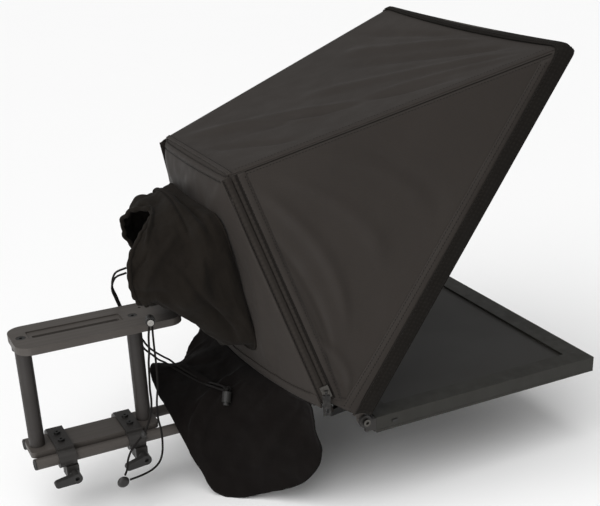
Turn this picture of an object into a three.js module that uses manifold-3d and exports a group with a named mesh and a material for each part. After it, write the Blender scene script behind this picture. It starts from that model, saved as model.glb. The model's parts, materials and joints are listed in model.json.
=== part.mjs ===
// Teleprompter for a studio camera: a beam-splitter glass and fabric hood over a flat monitor,
// carried with a camera riser on a pair of 15 mm rods.
//
// Frame: millimetres, +Z up, -Y towards the person who reads, +Y towards the camera operator.
// The origin is the middle of the tripod plate's bottom face. "near" is the -X side, "far" is +X.

import * as THREE from 'three';
import Module from 'manifold-3d';
import { mergeVertices } from 'three/addons/utils/BufferGeometryUtils.js';

const wasm = await Module();
wasm.setup();

// ---------------------------------------------------------------- driving dimensions

const gap = 0.3; // clearance between pieces that touch
const rodRadius = 7.5;
const rodX = 30; // half the spacing of the two rods
const rodZ = 25; // rod axes above the tripod plate's bottom face
const rodRear = 330;
const rodLength = 600;
const rodFront = rodRear - rodLength;
const boreRadius = rodRadius + gap;

const riser = {
  rear: 332,
  front: 118,
  halfWidth: 38.5,
  topZ: 188.8,
  thickness: 9.8,
  baseTop: 37,
  baseFront: 162,
  postY: [319.6, 176.5],
  postRadius: 10,
  clampY: [291, 199],
};

const monitor = { halfWidth: 217, rear: -66, depth: 360, bottom: 49.8, top: 71.8, bezel: 30 };
const monitorFront = monitor.rear - monitor.depth;
const monitorClampY = [-100, -190];

const hinge = { y: -50, z: 70, angle: THREE.MathUtils.degToRad(55.5) };
const glassFrame = { face: 4, depth: 14, band: 29, length: 532, bar: 12, halfWidth: 217 };

const backTop = { x: 110, y: 73, z: 389 }; // the hood's rear upper corner, far side
const backBottom = { x: 208, y: -4, z: 106 }; // the hood's rear lower corner, far side
const backLift = 14; // how far the back panel stands behind its corners, on a gusset with the zips
const backBulge = 28; // how much further it bellies out at its bottom edge
const fabric = 2.4; // thickness of the hood panels
const bandCut = 515; // how far up the frame the rear edge of the hood's side bands ends

// ---------------------------------------------------------------- materials and the node list

const finishes = {
  anodised: { color: 0x2a2826, roughness: 0.42, metalness: 0.6 },
  castMetal: { color: 0x242220, roughness: 0.5, metalness: 0.5 },
  steel: { color: 0xb9b6b0, roughness: 0.25, metalness: 1 },
  plastic: { color: 0x1d1c1b, roughness: 0.5, metalness: 0 },
  housing: { color: 0x23221e, roughness: 0.45, metalness: 0 },
  screen: { color: 0x2b2b29, roughness: 0.15, metalness: 0 },
  board: { color: 0x1f4a2a, roughness: 0.5, metalness: 0 },
  glass: { color: 0xc8d0cc, roughness: 0.03, metalness: 0 },
  nylon: { color: 0x3a3432, roughness: 0.75, metalness: 0 },
  velvet: { color: 0x12100f, roughness: 1, metalness: 0 },
  cord: { color: 0x0f0e0e, roughness: 0.8, metalness: 0 },
};

const teleprompter = new THREE.Group();

function add(name, geometry, finish, parent = teleprompter) {
  const mesh = new THREE.Mesh(geometry, new THREE.MeshStandardMaterial(finishes[finish]));
  mesh.name = name;
  parent.add(mesh);
  return mesh;
}

// ---------------------------------------------------------------- shape helpers

function toSolid(geometry) {
  const bare = geometry.index ? geometry.clone() : geometry;
  bare.deleteAttribute('normal');
  bare.deleteAttribute('uv');
  const merged = mergeVertices(bare, 1e-4);
  return new wasm.Manifold(
    new wasm.Mesh({
      numProp: 3,
      vertProperties: new Float32Array(merged.attributes.position.array),
      triVerts: new Uint32Array(merged.index.array),
    }),
  );
}

function toGeometry(solid) {
  const mesh = solid.getMesh();
  const geometry = new THREE.BufferGeometry();
  geometry.setAttribute('position', new THREE.BufferAttribute(new Float32Array(mesh.vertProperties), 3));
  geometry.setIndex(new THREE.BufferAttribute(new Uint32Array(mesh.triVerts), 1));
  return geometry;
}

// Joins the first list of geometries and cuts the second list out of them.
function carve(pieces, holes = []) {
  let solid = toSolid(pieces[0]);
  for (const piece of pieces.slice(1)) {
    solid = solid.add(toSolid(piece));
  }
  for (const hole of holes) {
    solid = solid.subtract(toSolid(hole));
  }
  return toGeometry(solid);
}

// A box between two corners.
function box([x0, y0, z0], [x1, y1, z1]) {
  const geometry = new THREE.BoxGeometry(x1 - x0, y1 - y0, z1 - z0);
  return geometry.translate((x0 + x1) / 2, (y0 + y1) / 2, (z0 + z1) / 2);
}

// A cylinder along one axis, from one coordinate to another, centred on the other two.
function bar(axis, radius, from, to, centre, sides = 16) {
  const geometry = new THREE.CylinderGeometry(radius, radius, Math.abs(to - from), sides);
  const middle = (from + to) / 2;
  if (axis === 'x') {
    geometry.rotateZ(Math.PI / 2);
    return geometry.translate(middle, centre[0], centre[1]);
  }
  if (axis === 'y') {
    return geometry.translate(centre[0], middle, centre[1]);
  }
  geometry.rotateX(Math.PI / 2);
  return geometry.translate(centre[0], centre[1], middle);
}

// A flat plate with rounded corners, seen from above.
function roundedPlate(x0, x1, y0, y1, z0, z1, radius) {
  const shape = new THREE.Shape();
  shape.moveTo(x0 + radius, y0);
  shape.lineTo(x1 - radius, y0);
  shape.absarc(x1 - radius, y0 + radius, radius, -Math.PI / 2, 0);
  shape.lineTo(x1, y1 - radius);
  shape.absarc(x1 - radius, y1 - radius, radius, 0, Math.PI / 2);
  shape.lineTo(x0 + radius, y1);
  shape.absarc(x0 + radius, y1 - radius, radius, Math.PI / 2, Math.PI);
  shape.lineTo(x0, y0 + radius);
  shape.absarc(x0 + radius, y0 + radius, radius, Math.PI, 1.5 * Math.PI);
  const options = { depth: z1 - z0, bevelEnabled: false, curveSegments: 4 };
  return new THREE.ExtrudeGeometry(shape, options).translate(0, 0, z0);
}

// A closed body from vertices and triangles, turned so that its faces point out.
function closedBody(points, triangles) {
  let volume = 0;
  for (const [a, b, c] of triangles) {
    volume += points[a].dot(new THREE.Vector3().crossVectors(points[b], points[c]));
  }
  const order = volume > 0 ? triangles : triangles.map(([a, b, c]) => [a, c, b]);
  const geometry = new THREE.BufferGeometry().setFromPoints(points);
  geometry.setIndex(order.flat());
  return geometry;
}

// A sheet of even thickness over a surface given as a function of u and v, both 0 to 1.
// Where closed is true the sheet is a tube: u = 1 meets u = 0.
function sheet(surface, columns, rows, thickness, closed = false) {
  const step = 1e-3;
  const sides = [[], []];
  const width = closed ? columns : columns + 1;
  for (let row = 0; row <= rows; row += 1) {
    for (let column = 0; column < width; column += 1) {
      const u = column / columns;
      const v = row / rows;
      const point = surface(u, v);
      const uSafe = closed ? u : Math.min(Math.max(u, step), 1 - step);
      const vSafe = Math.min(Math.max(v, step), 1 - step);
      const alongU = surface(uSafe + step, vSafe).sub(surface(uSafe - step, vSafe));
      const alongV = surface(uSafe, vSafe + step).sub(surface(uSafe, vSafe - step));
      const normal = alongU.cross(alongV).normalize().multiplyScalar(thickness / 2);
      sides[0].push(point.clone().add(normal));
      sides[1].push(point.clone().sub(normal));
    }
  }
  const points = [...sides[0], ...sides[1]];
  const back = sides[0].length;
  const at = (column, row) => (closed ? column % columns : column) + row * width;
  const triangles = [];
  const quad = (a, b, c, d) => triangles.push([a, b, c], [a, c, d]);
  for (let row = 0; row < rows; row += 1) {
    for (let column = 0; column < columns; column += 1) {
      const [a, b] = [at(column, row), at(column + 1, row)];
      const [c, d] = [at(column + 1, row + 1), at(column, row + 1)];
      quad(a, b, c, d);
      quad(back + d, back + c, back + b, back + a);
    }
  }
  for (let column = 0; column < columns; column += 1) {
    quad(at(column + 1, 0), at(column, 0), back + at(column, 0), back + at(column + 1, 0));
    quad(at(column, rows), at(column + 1, rows), back + at(column + 1, rows), back + at(column, rows));
  }
  if (!closed) {
    for (let row = 0; row < rows; row += 1) {
      quad(at(0, row), at(0, row + 1), back + at(0, row + 1), back + at(0, row));
      quad(at(columns, row + 1), at(columns, row), back + at(columns, row), back + at(columns, row + 1));
    }
  }
  return closedBody(points, triangles);
}

// A flat fabric panel: its outer corners, drawn in a little from its neighbours, thickened inwards.
function panel(corners, thickness, inset) {
  const outer = corners.map(([x, y, z]) => new THREE.Vector3(x, y, z));
  const centre = new THREE.Vector3();
  outer.forEach((corner) => centre.addScaledVector(corner, 1 / outer.length));
  outer.forEach((corner) => corner.addScaledVector(centre.clone().sub(corner).normalize(), inset));
  const normal = outer[1].clone().sub(outer[0]).cross(outer[3].clone().sub(outer[0])).normalize();
  const inside = new THREE.Vector3(0, -60, 250).sub(centre);
  normal.multiplyScalar(Math.sign(normal.dot(inside)));
  const lifted = (v) => (point) => point.clone().addScaledVector(normal, v);
  const points = [...outer.map(lifted(gap)), ...outer.map(lifted(gap + thickness))];
  const triangles = [[0, 1, 2], [0, 2, 3], [4, 6, 5], [4, 7, 6]];
  for (let side = 0; side < 4; side += 1) {
    const next = (side + 1) % 4;
    triangles.push([side, side + 4, next + 4], [side, next + 4, next]);
  }
  return closedBody(points, triangles);
}

// ---------------------------------------------------------------- rods and tripod block

function buildRods() {
  add('rod_near', bar('y', rodRadius, rodFront, rodRear, [-rodX, rodZ]), 'anodised');
  add('rod_far', bar('y', rodRadius, rodFront, rodRear, [rodX, rodZ]), 'anodised');
}

function rodBores(from, to) {
  return [-1, 1].map((side) => bar('y', boreRadius, from, to, [side * rodX, rodZ], 20));
}

function buildTripodBlock() {
  const plate = { x: 35, y: 45, top: 8 };
  const block = { x: 46, y: 40, top: 36 };
  const threads = [
    bar('z', 4.8, -1, plate.top + 1, [0, 20]),
    bar('z', 3.2, -1, plate.top + 1, [0, -20]),
  ];
  const slab = roundedPlate(-plate.x, plate.x, -plate.y, plate.y, 0, plate.top, 6);
  add('tripod_plate', carve([slab], threads), 'anodised');
  const blockHoles = [
    ...rodBores(-block.y - 1, block.y + 1),
    bar('x', 3.3, -block.x - 1, -rodX, [0, rodZ]),
  ];
  const body = box([-block.x, -block.y, plate.top + gap], [block.x, block.y, block.top]);
  add('tripod_clamp_block', carve([body], blockHoles), 'castMetal');
}

// A clamping lever: a round hub with a short arm, and the screw that is moulded into it.
// The screw runs along +X from the hub; tip is where it ends.
function lever(name, y, z, armAngle, hubOuter, hubInner, tip) {
  const armLength = 24;
  const arm = new THREE.Shape();
  arm.absarc(0, 0, 6.5, Math.PI / 2, 1.5 * Math.PI);
  arm.lineTo(armLength, -4.5);
  arm.absarc(armLength, 0, 4.5, -Math.PI / 2, Math.PI / 2);
  const options = { depth: 8, bevelEnabled: false, curveSegments: 5 };
  const armSolid = new THREE.ExtrudeGeometry(arm, options);
  // The outline's x runs along row +Y and its y along row +Z.
  armSolid.rotateX(Math.PI / 2).rotateZ(Math.PI / 2).rotateX(armAngle).translate(hubOuter, y, z);
  const pieces = [
    armSolid,
    bar('x', 7, hubOuter, hubInner, [y, z]),
    bar('x', 2.9, hubInner - 2, tip, [y, z], 16),
  ];
  const socket = bar('x', 3, hubOuter - 1, hubOuter + 3.5, [y, z], 6);
  add(name, carve(pieces, [socket]), 'plastic');
}

// ---------------------------------------------------------------- camera riser

// A saddle that holds both rods, with a slit lug below the near rod for the lever's screw.
function rodClamp(y, halfLength, topZ, lugY, extraHoles = []) {
  const ring = 12.3;
  const [from, to] = [y - halfLength, y + halfLength];
  const pieces = [
    box([-rodX, from, rodZ - 11], [rodX, to, topZ]),
    bar('y', ring, from, to, [-rodX, rodZ], 20),
    bar('y', ring, from, to, [rodX, rodZ], 20),
    box([-41, lugY - 8, -2], [-19, lugY + 8, rodZ - 9]),
  ];
  const holes = [
    ...rodBores(from - 1, to + 1),
    box([-31, lugY - 9, -3], [-29, lugY + 9, rodZ - 7]),
    bar('x', 3.3, -42, -18, [lugY, 6], 12),
    ...extraHoles,
  ];
  return carve(pieces, holes);
}

function buildRiser() {
  const baseBottom = riser.baseTop - 8;
  const clampTop = 40;
  const screwX = 11;
  const baseHalf = 22;
  const clampHalf = 11;
  const lugShift = -4;

  const plateSlot = (y) => box(
    [-baseHalf - gap, y - clampHalf - 1, baseBottom - gap],
    [baseHalf + gap, y + clampHalf + 1, riser.baseTop + gap],
  );
  const screwHoles = (y) => [-1, 1].map((side) => bar('z', 2.6, 20, clampTop + 1, [side * screwX, y], 12));
  riser.clampY.forEach((y, index) => {
    const place = ['rear', 'front'][index];
    const clampHoles = [plateSlot(y), ...screwHoles(y)];
    add(`riser_clamp_${place}`, rodClamp(y, clampHalf, clampTop, y + lugShift, clampHoles), 'castMetal');
    for (const side of [-1, 1]) {
      const centre = [side * screwX, y];
      const screw = [
        bar('z', 4.4, clampTop + gap, clampTop + 3, centre),
        bar('z', 2.2, 21, clampTop + 1, centre, 12),
      ];
      const socket = bar('z', 1.9, clampTop + 1.2, clampTop + 4, centre, 6);
      add(`riser_base_screw_${place}_${side < 0 ? 'near' : 'far'}`, carve(screw, [socket]), 'castMetal');
    }
    lever(`riser_lever_${place}`, y + lugShift, 6, [-0.09, -0.18][index], -60, -47, -21);
  });

  const base = roundedPlate(-baseHalf, baseHalf, riser.baseFront, riser.rear, baseBottom, riser.baseTop, 7);
  add('riser_base_plate', carve([base], riser.clampY.flatMap(screwHoles)), 'anodised');

  const postTop = riser.topZ - riser.thickness - gap;
  const collar = 12.6;
  const threadDepth = 16;
  riser.postY.forEach((y, index) => {
    const pieces = [
      bar('z', riser.postRadius, riser.baseTop + gap, postTop, [0, y], 24),
      bar('z', collar, postTop - 4, postTop, [0, y], 24),
    ];
    const thread = bar('z', 3.3, postTop - threadDepth, postTop + 1, [0, y], 12);
    add(index === 0 ? 'riser_post_rear' : 'riser_post_front', carve(pieces, [thread]), 'anodised');
  });

  const plateBottom = riser.topZ - riser.thickness;
  const headRadius = 6;
  const recessDepth = 1.8;
  const slotEnds = [194, 306];
  const slotHalf = 3.3;
  const topHoles = [
    roundedPlate(-9, 16, slotEnds[0] - 3, slotEnds[1] + 5, riser.topZ - recessDepth, riser.topZ + 1, 3),
    roundedPlate(-slotHalf, slotHalf, slotEnds[0], slotEnds[1], plateBottom - 1, riser.topZ, slotHalf - 0.1),
    bar('z', 2.2, plateBottom - 1, riser.topZ + 1, [21, 160], 16),
    ...riser.postY.flatMap((y) => [
      bar('z', 3.3, plateBottom - 1, riser.topZ, [0, y], 12),
      bar('z', headRadius + gap, riser.topZ - 3.4, riser.topZ + 1, [0, y]),
    ]),
  ];
  const { halfWidth, front, rear, topZ } = riser;
  const top = roundedPlate(-halfWidth, halfWidth, front, rear, plateBottom, topZ, 20);
  add('riser_top_plate', carve([top], topHoles), 'anodised');

  riser.postY.forEach((y, index) => {
    const screw = [
      bar('z', headRadius, riser.topZ - 3.1, riser.topZ - 0.2, [0, y]),
      bar('z', 2.9, postTop - threadDepth + 2, riser.topZ - 2, [0, y], 12),
    ];
    const socket = bar('z', 2.3, riser.topZ - 2, riser.topZ + 1, [0, y], 6);
    add(`riser_top_screw_${['rear', 'front'][index]}`, carve(screw, [socket]), 'castMetal');
  });
}

// ---------------------------------------------------------------- monitor and its cradle

function buildMonitor() {
  const { halfWidth, rear, bottom, top, bezel } = monitor;
  const front = monitorFront;
  const coverTop = bottom + 3.6;
  const wall = 3;
  const flange = 3;
  const screenTop = top - flange - gap;
  const mountTop = bottom - gap;
  const vesa = 50;
  const mountY = -145;
  const lugShift = -4;
  const clampTop = 41.7;

  monitorClampY.forEach((y, index) => {
    const place = ['rear', 'front'][index];
    add(`monitor_clamp_${place}`, rodClamp(y, 14, clampTop, y + lugShift), 'castMetal');
    lever(`monitor_lever_${place}`, y + lugShift, 6, -0.2, -60, -47, -21);
  });
  const vesaPoints = [-1, 1].flatMap((sx) => [-1, 1].map((sy) => [sx * vesa, mountY + sy * vesa]));
  const mountPlate = roundedPlate(-60, 60, mountY - 62, mountY + 62, clampTop + gap, mountTop, 8);
  const mountHoles = vesaPoints.map((p) => bar('z', 2.5, 40, 51, p, 12));
  add('monitor_mount_plate', carve([mountPlate], mountHoles), 'anodised');

  const coverPoints = [-1, 1].flatMap((sx) => [0, 1].map((end) => [
    sx * (halfWidth - 12), end ? rear - 12 : front + 12,
  ]));
  const coverHoles = [
    ...vesaPoints.map((p) => bar('z', 2.5, bottom - 1, coverTop + 1, p, 12)),
    ...coverPoints.map((p) => bar('z', 2, bottom - 1, coverTop + 1, p, 8)),
    ...coverPoints.map((p) => bar('z', 4, bottom - 1, bottom + 1.8, p, 12)),
  ];
  const cover = box([-halfWidth, front, bottom], [halfWidth, rear, coverTop]);
  add('monitor_back_cover', carve([cover], coverHoles), 'housing');

  const button = { y: -93, z: 61, half: 4, height: 1.8 };
  const inlets = [[70, 79], [88, 112]]; // power and picture, through the rear wall
  const bossHalf = 4.5;
  const bossFloor = coverTop + gap;
  const bezelPieces = [
    carve(
      [box([-halfWidth, front, bossFloor], [halfWidth, rear, top])],
      [box([wall - halfWidth, front + wall, bossFloor - 1], [halfWidth - wall, rear - wall, top - flange])],
    ),
    ...coverPoints.map(([x, y]) => box(
      [x - bossHalf, y - bossHalf, bossFloor],
      [x + bossHalf, y + bossHalf, top - 1],
    )),
    ...coverPoints.map(([x, y]) => box(
      [Math.min(x, Math.sign(x) * halfWidth), y - 1, bossFloor],
      [Math.max(x, Math.sign(x) * halfWidth), y + 1, top - 1],
    )),
  ];
  const bezelHoles = [
    box([-halfWidth + bezel, front + bezel + 2, top - 8], [halfWidth - bezel, rear - bezel + 2, top + 1]),
    ...coverPoints.map((p) => bar('z', 1.9, bossFloor - 1, top - 4, p, 12)),
    box([-halfWidth - 1, button.y - button.half - gap, button.z - button.height - gap],
      [-halfWidth + wall + 1, button.y + button.half + gap, button.z + button.height + gap]),
    ...inlets.map(([x0, x1]) => box([x0, rear - wall - 1, 56], [x1, rear + 1, 63])),
  ];
  add('monitor_bezel', carve(bezelPieces, bezelHoles), 'housing');
  add('power_button', box([-halfWidth - 1.2, button.y - button.half, button.z - button.height],
    [-halfWidth + 2, button.y + button.half, button.z + button.height]), 'plastic');

  const panelInset = 19;
  add('lcd_panel', box([-halfWidth + panelInset, front + panelInset, screenTop - 8],
    [halfWidth - panelInset, rear - panelInset, screenTop]), 'screen');
  const boardPieces = [
    box([-90, -330, coverTop + 1], [40, -230, coverTop + 2.6]),
    box([-70, -310, coverTop + 2], [-45, -285, coverTop + 5]),
    box([-20, -300, coverTop + 2], [5, -270, coverTop + 4.5]),
  ];
  for (const x of [-80, 30]) {
    for (const y of [-320, -240]) {
      boardPieces.push(bar('z', 3, coverTop + gap, coverTop + 2, [x, y], 12));
    }
  }
  add('driver_board', carve(boardPieces), 'board');
}

// ---------------------------------------------------------------- hinge

function buildHinge(side) {
  const name = side < 0 ? 'near' : 'far';
  const x = (inward) => side * (monitor.halfWidth - inward);
  const slab = (from, to, low, high) => box(
    [Math.min(x(from), x(to)), low[0], low[1]],
    [Math.max(x(from), x(to)), high[0], high[1]],
  );
  const plate = 5;
  const face = monitor.rear + gap;
  const bracket = [
    bar('x', 8.5, x(0), x(plate), [hinge.y, hinge.z], 20),
    slab(0, plate, [face, 55], [hinge.y, 71]),
    slab(0, 26, [face, 52], [face + 3, 71]),
  ];
  const boltHole = bar('x', 3.3, x(-1), x(plate + 1), [hinge.y, hinge.z], 16);
  add(`hinge_bracket_${name}`, carve(bracket, [boltHole]), 'castMetal');
  const bolt = [
    bar('x', 5, x(-4.3), x(-gap), [hinge.y, hinge.z]),
    bar('x', 3, x(-1), x(17.5), [hinge.y, hinge.z], 16),
    bar('x', 5, x(12.6), x(17), [hinge.y, hinge.z], 6),
  ];
  const socket = bar('x', 2.4, x(-5), x(-2), [hinge.y, hinge.z], 6);
  add(`hinge_bolt_${name}`, carve(bolt, [socket]), 'steel');
}

// ---------------------------------------------------------------- glass frame

// Inside this group x runs across, z runs up along the glass from the hinge axis,
// and y is the distance from the hinge axis towards the operator's side.
function buildGlassFrame() {
  const group = new THREE.Group();
  group.position.set(0, hinge.y, hinge.z);
  group.rotation.x = Math.PI / 2 - hinge.angle;
  teleprompter.add(group);

  const { face, depth, length, bar: thick, halfWidth } = glassFrame;
  const rear = face + depth;
  const foot = 17;
  const groove = { y0: 11.7, y1: 15.3, deep: 4 };
  const inner = halfWidth - thick;
  for (const side of [-1, 1]) {
    const slab = (x0, x1, low, high) => box(
      [Math.min(side * x0, side * x1), low[0], low[1]],
      [Math.max(side * x0, side * x1), high[0], high[1]],
    );
    const lug = { outer: halfWidth - 5.4, radius: 7.5 };
    const pieces = [
      slab(inner, halfWidth, [face, foot], [rear, length]),
      slab(inner, lug.outer, [face, 0], [rear - 2, foot + 1]),
      bar('x', lug.radius, side * inner, side * lug.outer, [0, 0], 20),
    ];
    const holes = [
      bar('x', 3.3, side * (inner - 1), side * halfWidth, [0, 0], 16),
      slab(inner - 1, inner + groove.deep, [groove.y0, foot + 6], [groove.y1, length - 8]),
    ];
    add(side < 0 ? 'glass_frame_near' : 'glass_frame_far', carve(pieces, holes), 'anodised', group);
  }
  const span = inner - gap;
  const rails = [
    ['glass_frame_bottom', foot + 4, foot + 4 + thick, [foot + 12.5, foot + 5 + thick]],
    ['glass_frame_top', length - thick, length, [length - thick - 1, length - 8.3]],
  ];
  for (const [name, z0, z1, slot] of rails) {
    const cut = box([-span - 1, groove.y0, slot[0]], [span + 1, groove.y1, slot[1]]);
    add(name, carve([box([-span, face, z0], [span, rear, z1])], [cut]), 'anodised', group);
  }
  const glassHalf = inner + groove.deep - gap;
  const glass = box([-glassHalf, groove.y0 + gap, foot + 13], [glassHalf, groove.y1 - gap, length - 8.6]);
  add('beamsplitter_glass', glass, 'glass', group);

  // The hood's hook-and-loop band wraps the frame; its side strips are cut off at a slant below the top.
  const band = {
    inside: halfWidth + gap,
    outside: halfWidth + gap + 2,
    top: length + gap,
    rear: face + glassFrame.band,
  };
  const sideStrip = new THREE.Shape();
  sideStrip.moveTo(face, foot);
  sideStrip.lineTo(band.rear, foot);
  sideStrip.lineTo(band.rear, bandCut);
  sideStrip.lineTo(rear, band.top + 2);
  sideStrip.lineTo(face, band.top + 2);
  const bandPieces = [-1, 1].map((side) => {
    const strip = new THREE.ExtrudeGeometry(sideStrip, { depth: 2, bevelEnabled: false });
    strip.rotateX(Math.PI / 2).rotateZ(Math.PI / 2);
    return strip.translate(side < 0 ? -band.outside : band.inside, 0, 0);
  });
  bandPieces.push(box([-band.outside, face, band.top], [band.outside, rear, band.top + 2]));
  add('hood_front_band', carve(bandPieces), 'velvet', group);
}

// A point in the row frame from its place on the glass frame.
function onFrame(x, outward, along) {
  const { y, z, angle } = hinge;
  return [
    x,
    y + outward * Math.sin(angle) - along * Math.cos(angle),
    z + outward * Math.cos(angle) + along * Math.sin(angle),
  ];
}

// ---------------------------------------------------------------- hood

// How far towards the operator the back panel lies, at a height and a place across.
function backPanelY(x, z) {
  const down = (backTop.z - z) / (backTop.z - backBottom.z);
  const half = backTop.x + down * (backBottom.x - backTop.x);
  const plane = backTop.y + backLift + down * (backBottom.y - backTop.y);
  const across = Math.max(0, 1 - (x / half) ** 2);
  return plane + backBulge * Math.sqrt(Math.max(0, down)) * across;
}

const sleeveBase = { halfWidth: 98, low: 136, high: 334 };

// The four corners of one side of the hood.
function hoodCorners(side) {
  const { face, depth, band, halfWidth, length } = glassFrame;
  return {
    ridge: onFrame(side * halfWidth, face + depth + gap, length + 1),
    frontTop: onFrame(side * halfWidth, face + band + gap, bandCut),
    frontBottom: onFrame(side * halfWidth, face + band + gap, 20),
    rearBottom: [side * backBottom.x, backBottom.y, backBottom.z],
    rearTop: [side * backTop.x, backTop.y, backTop.z],
  };
}

function buildHood() {
  const inset = 6;
  const [near, far] = [hoodCorners(-1), hoodCorners(1)];
  for (const [name, corners] of [['near', near], ['far', far]]) {
    const { frontTop, frontBottom, rearBottom, rearTop } = corners;
    add(`hood_side_${name}`, panel([frontTop, frontBottom, rearBottom, rearTop], fabric, inset), 'nylon');
  }
  add('hood_top', panel([near.ridge, far.ridge, far.rearTop, near.rearTop], fabric, inset), 'nylon');

  const margin = 8;
  const backSurface = (u, v) => {
    const z = THREE.MathUtils.lerp(backTop.z - margin, backBottom.z - 4, v);
    const down = (backTop.z - z) / (backTop.z - backBottom.z);
    const half = backTop.x + down * (backBottom.x - backTop.x) - margin;
    const x = THREE.MathUtils.lerp(-half, half, u);
    return new THREE.Vector3(x, backPanelY(x, z), z);
  };
  const hole = box(
    [-sleeveBase.halfWidth + 9, -40, sleeveBase.low + 9],
    [sleeveBase.halfWidth - 9, 160, sleeveBase.high - 9],
  );
  add('hood_back', carve([sheet(backSurface, 12, 8, fabric)], [hole]), 'nylon');
}

// A zip on one of the hood's rear corners: tape with its coil, slider, and the pull that hangs from it.
function buildZip(side) {
  const name = side < 0 ? 'near' : 'far';
  const corners = hoodCorners(side);
  const bottom = new THREE.Vector3(...corners.rearBottom);
  const top = new THREE.Vector3(...corners.rearTop);
  const forward = new THREE.Vector3(...corners.frontTop).sub(bottom);
  const up = top.clone().sub(bottom).normalize();
  const out = up.clone().cross(forward).normalize();
  out.multiplyScalar(Math.sign(out.x * side));
  // Inside the group x runs across the zip, y out of the hood and z up the zip.
  const across = out.clone().cross(up);
  const group = new THREE.Group();
  group.quaternion.setFromRotationMatrix(new THREE.Matrix4().makeBasis(across, out, up));
  group.position.copy(bottom);
  teleprompter.add(group);

  // The tape is the gusset between the side panel and the back panel; its coil runs along the corner.
  const direction = Math.sign(forward.dot(across));
  const length = bottom.distanceTo(top);
  const strip = (x0, x1, low, high) => box(
    [Math.min(direction * x0, direction * x1), low[0], low[1]],
    [Math.max(direction * x0, direction * x1), high[0], high[1]],
  );
  const coil = { x0: -2, x1: 3, height: 2.6 };
  const tape = [
    strip(-14, 6, [0.3, 4], [1.3, length - 4]),
    strip(coil.x0, coil.x1, [1, 6], [coil.height, length - 6]),
  ];
  add(`zip_tape_${name}`, carve(tape), 'velvet', group);

  // Two ears on the slider hold a cross pin, turned so that the pull on it hangs plumb.
  const pin = { x: (direction * (coil.x0 + coil.x1)) / 2, y: coil.height + 4.6, z: 16, radius: 0.8 };
  const plumb = Math.atan2(across.z, up.z);
  const onPin = (geometry) => geometry.rotateY(plumb).translate(pin.x, pin.y, pin.z);
  const ear = (x0, x1) => onPin(box([x0, coil.height + 1 - pin.y, -2], [x1, 1.6, 2]));
  const slider = [
    strip(coil.x0 - 3, coil.x1 + 3, [coil.height + gap, 8], [coil.height + 2.3, 24]),
    strip(coil.x0 - 3, coil.x0 - 1, [1.3 + gap, 8], [coil.height + 2, 24]),
    strip(coil.x1 + 1, coil.x1 + 3, [1.3 + gap, 8], [coil.height + 2, 24]),
    ear(-3, -1.7),
    ear(1.7, 3),
    onPin(bar('x', pin.radius, -2.4, 2.4, [0, 0], 10)),
  ];
  add(`zip_slider_${name}`, carve(slider), 'steel', group);

  const tab = { half: 5, neck: 1.4, shoulder: -4, length: 30, thickness: 1.4 };
  const pull = [
    bar('x', 2.1, -tab.neck, tab.neck, [0, 0], 14),
    box([-tab.neck, -tab.thickness / 2, tab.shoulder - 1], [tab.neck, tab.thickness / 2, -0.5]),
    box([-tab.half, -tab.thickness / 2, -tab.length], [tab.half, tab.thickness / 2, tab.shoulder]),
  ];
  const eyes = [
    bar('x', pin.radius + gap, -tab.neck - 1, tab.neck + 1, [0, 0], 14),
    box([-1.5, -tab.thickness, 4 - tab.length], [1.5, tab.thickness, 9 - tab.length]),
  ];
  add(`zip_pull_${name}`, onPin(carve(pull, eyes)), 'castMetal', group);
}

// ---------------------------------------------------------------- sleeve and drape

// The camera sleeve: stations from the back panel to the gathered mouth.
// Each has a centre, half-sizes across and up, and a lean of its plane in degrees.
const sleeveStations = [
  { centre: [0, 66, 236], size: [98, 102], lean: 15.7 },
  { centre: [-2, 92, 243], size: [100, 96], lean: 14 },
  { centre: [-8, 122, 264], size: [90, 71], lean: 9 },
  { centre: [-15, 152, 268], size: [74, 63], lean: 4 },
  { centre: [-20, 176, 268], size: [56, 55], lean: 0 },
];
const sleeveCentre = new THREE.CatmullRomCurve3(sleeveStations.map((s) => new THREE.Vector3(...s.centre)));
const sleeveSize = new THREE.CatmullRomCurve3(
  sleeveStations.map((s) => new THREE.Vector3(s.size[0], s.size[1], s.lean)),
);
// The gathered mouth is not flat: near side drawn back, far side forward, and the top up and forward.
const sleeveMouth = { turn: 0.35, topForward: 34, topRaise: 8 };

function buildSleeve() {
  const thickness = 3;
  const surface = (u, v) => {
    const centre = sleeveCentre.getPoint(v);
    const size = sleeveSize.getPoint(v);
    const squareness = THREE.MathUtils.lerp(0.35, 1, Math.min(1, v * 1.6));
    const angle = 2 * Math.PI * u;
    const swell = (value) => Math.sign(value) * Math.abs(value) ** squareness;
    const x = size.x * swell(Math.cos(angle));
    const up = size.y * swell(Math.sin(angle));
    const lean = THREE.MathUtils.degToRad(size.z);
    const point = new THREE.Vector3(
      centre.x + x,
      centre.y + up * Math.sin(lean),
      centre.z + up * Math.cos(lean),
    );
    const peak = Math.max(0, Math.sin(angle)) ** 3;
    point.y += v * v * (sleeveMouth.turn * (centre.x - point.x) - sleeveMouth.topForward * peak);
    point.z += v * v * sleeveMouth.topRaise * peak;
    const onPanel = backPanelY(point.x, point.z) + fabric + 1.8;
    const blend = Math.max(0, 1 - v * 4);
    point.y = THREE.MathUtils.lerp(point.y, onPanel, blend);
    return point;
  };
  add('camera_sleeve', sheet(surface, 26, 9, thickness, true), 'velvet');
}

// The drape's free edge, from the near end of the seam round to the far end.
const drapeEdge = new THREE.CatmullRomCurve3([
  [-184, -4, 26], [-178, 4, 0], [-160, 24, -30], [-128, 58, -50], [-104, 86, -62],
  [-81, 111, -58], [-66, 127, -25], [-50, 142, 28], [-28, 148, 58], [20, 145, 70],
  [62, 134, 79], [95, 112, 55], [118, 86, 5], [138, 58, -30], [162, 26, -28],
  [178, 4, -2], [184, -4, 26],
].map((point) => new THREE.Vector3(...point)));

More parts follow.
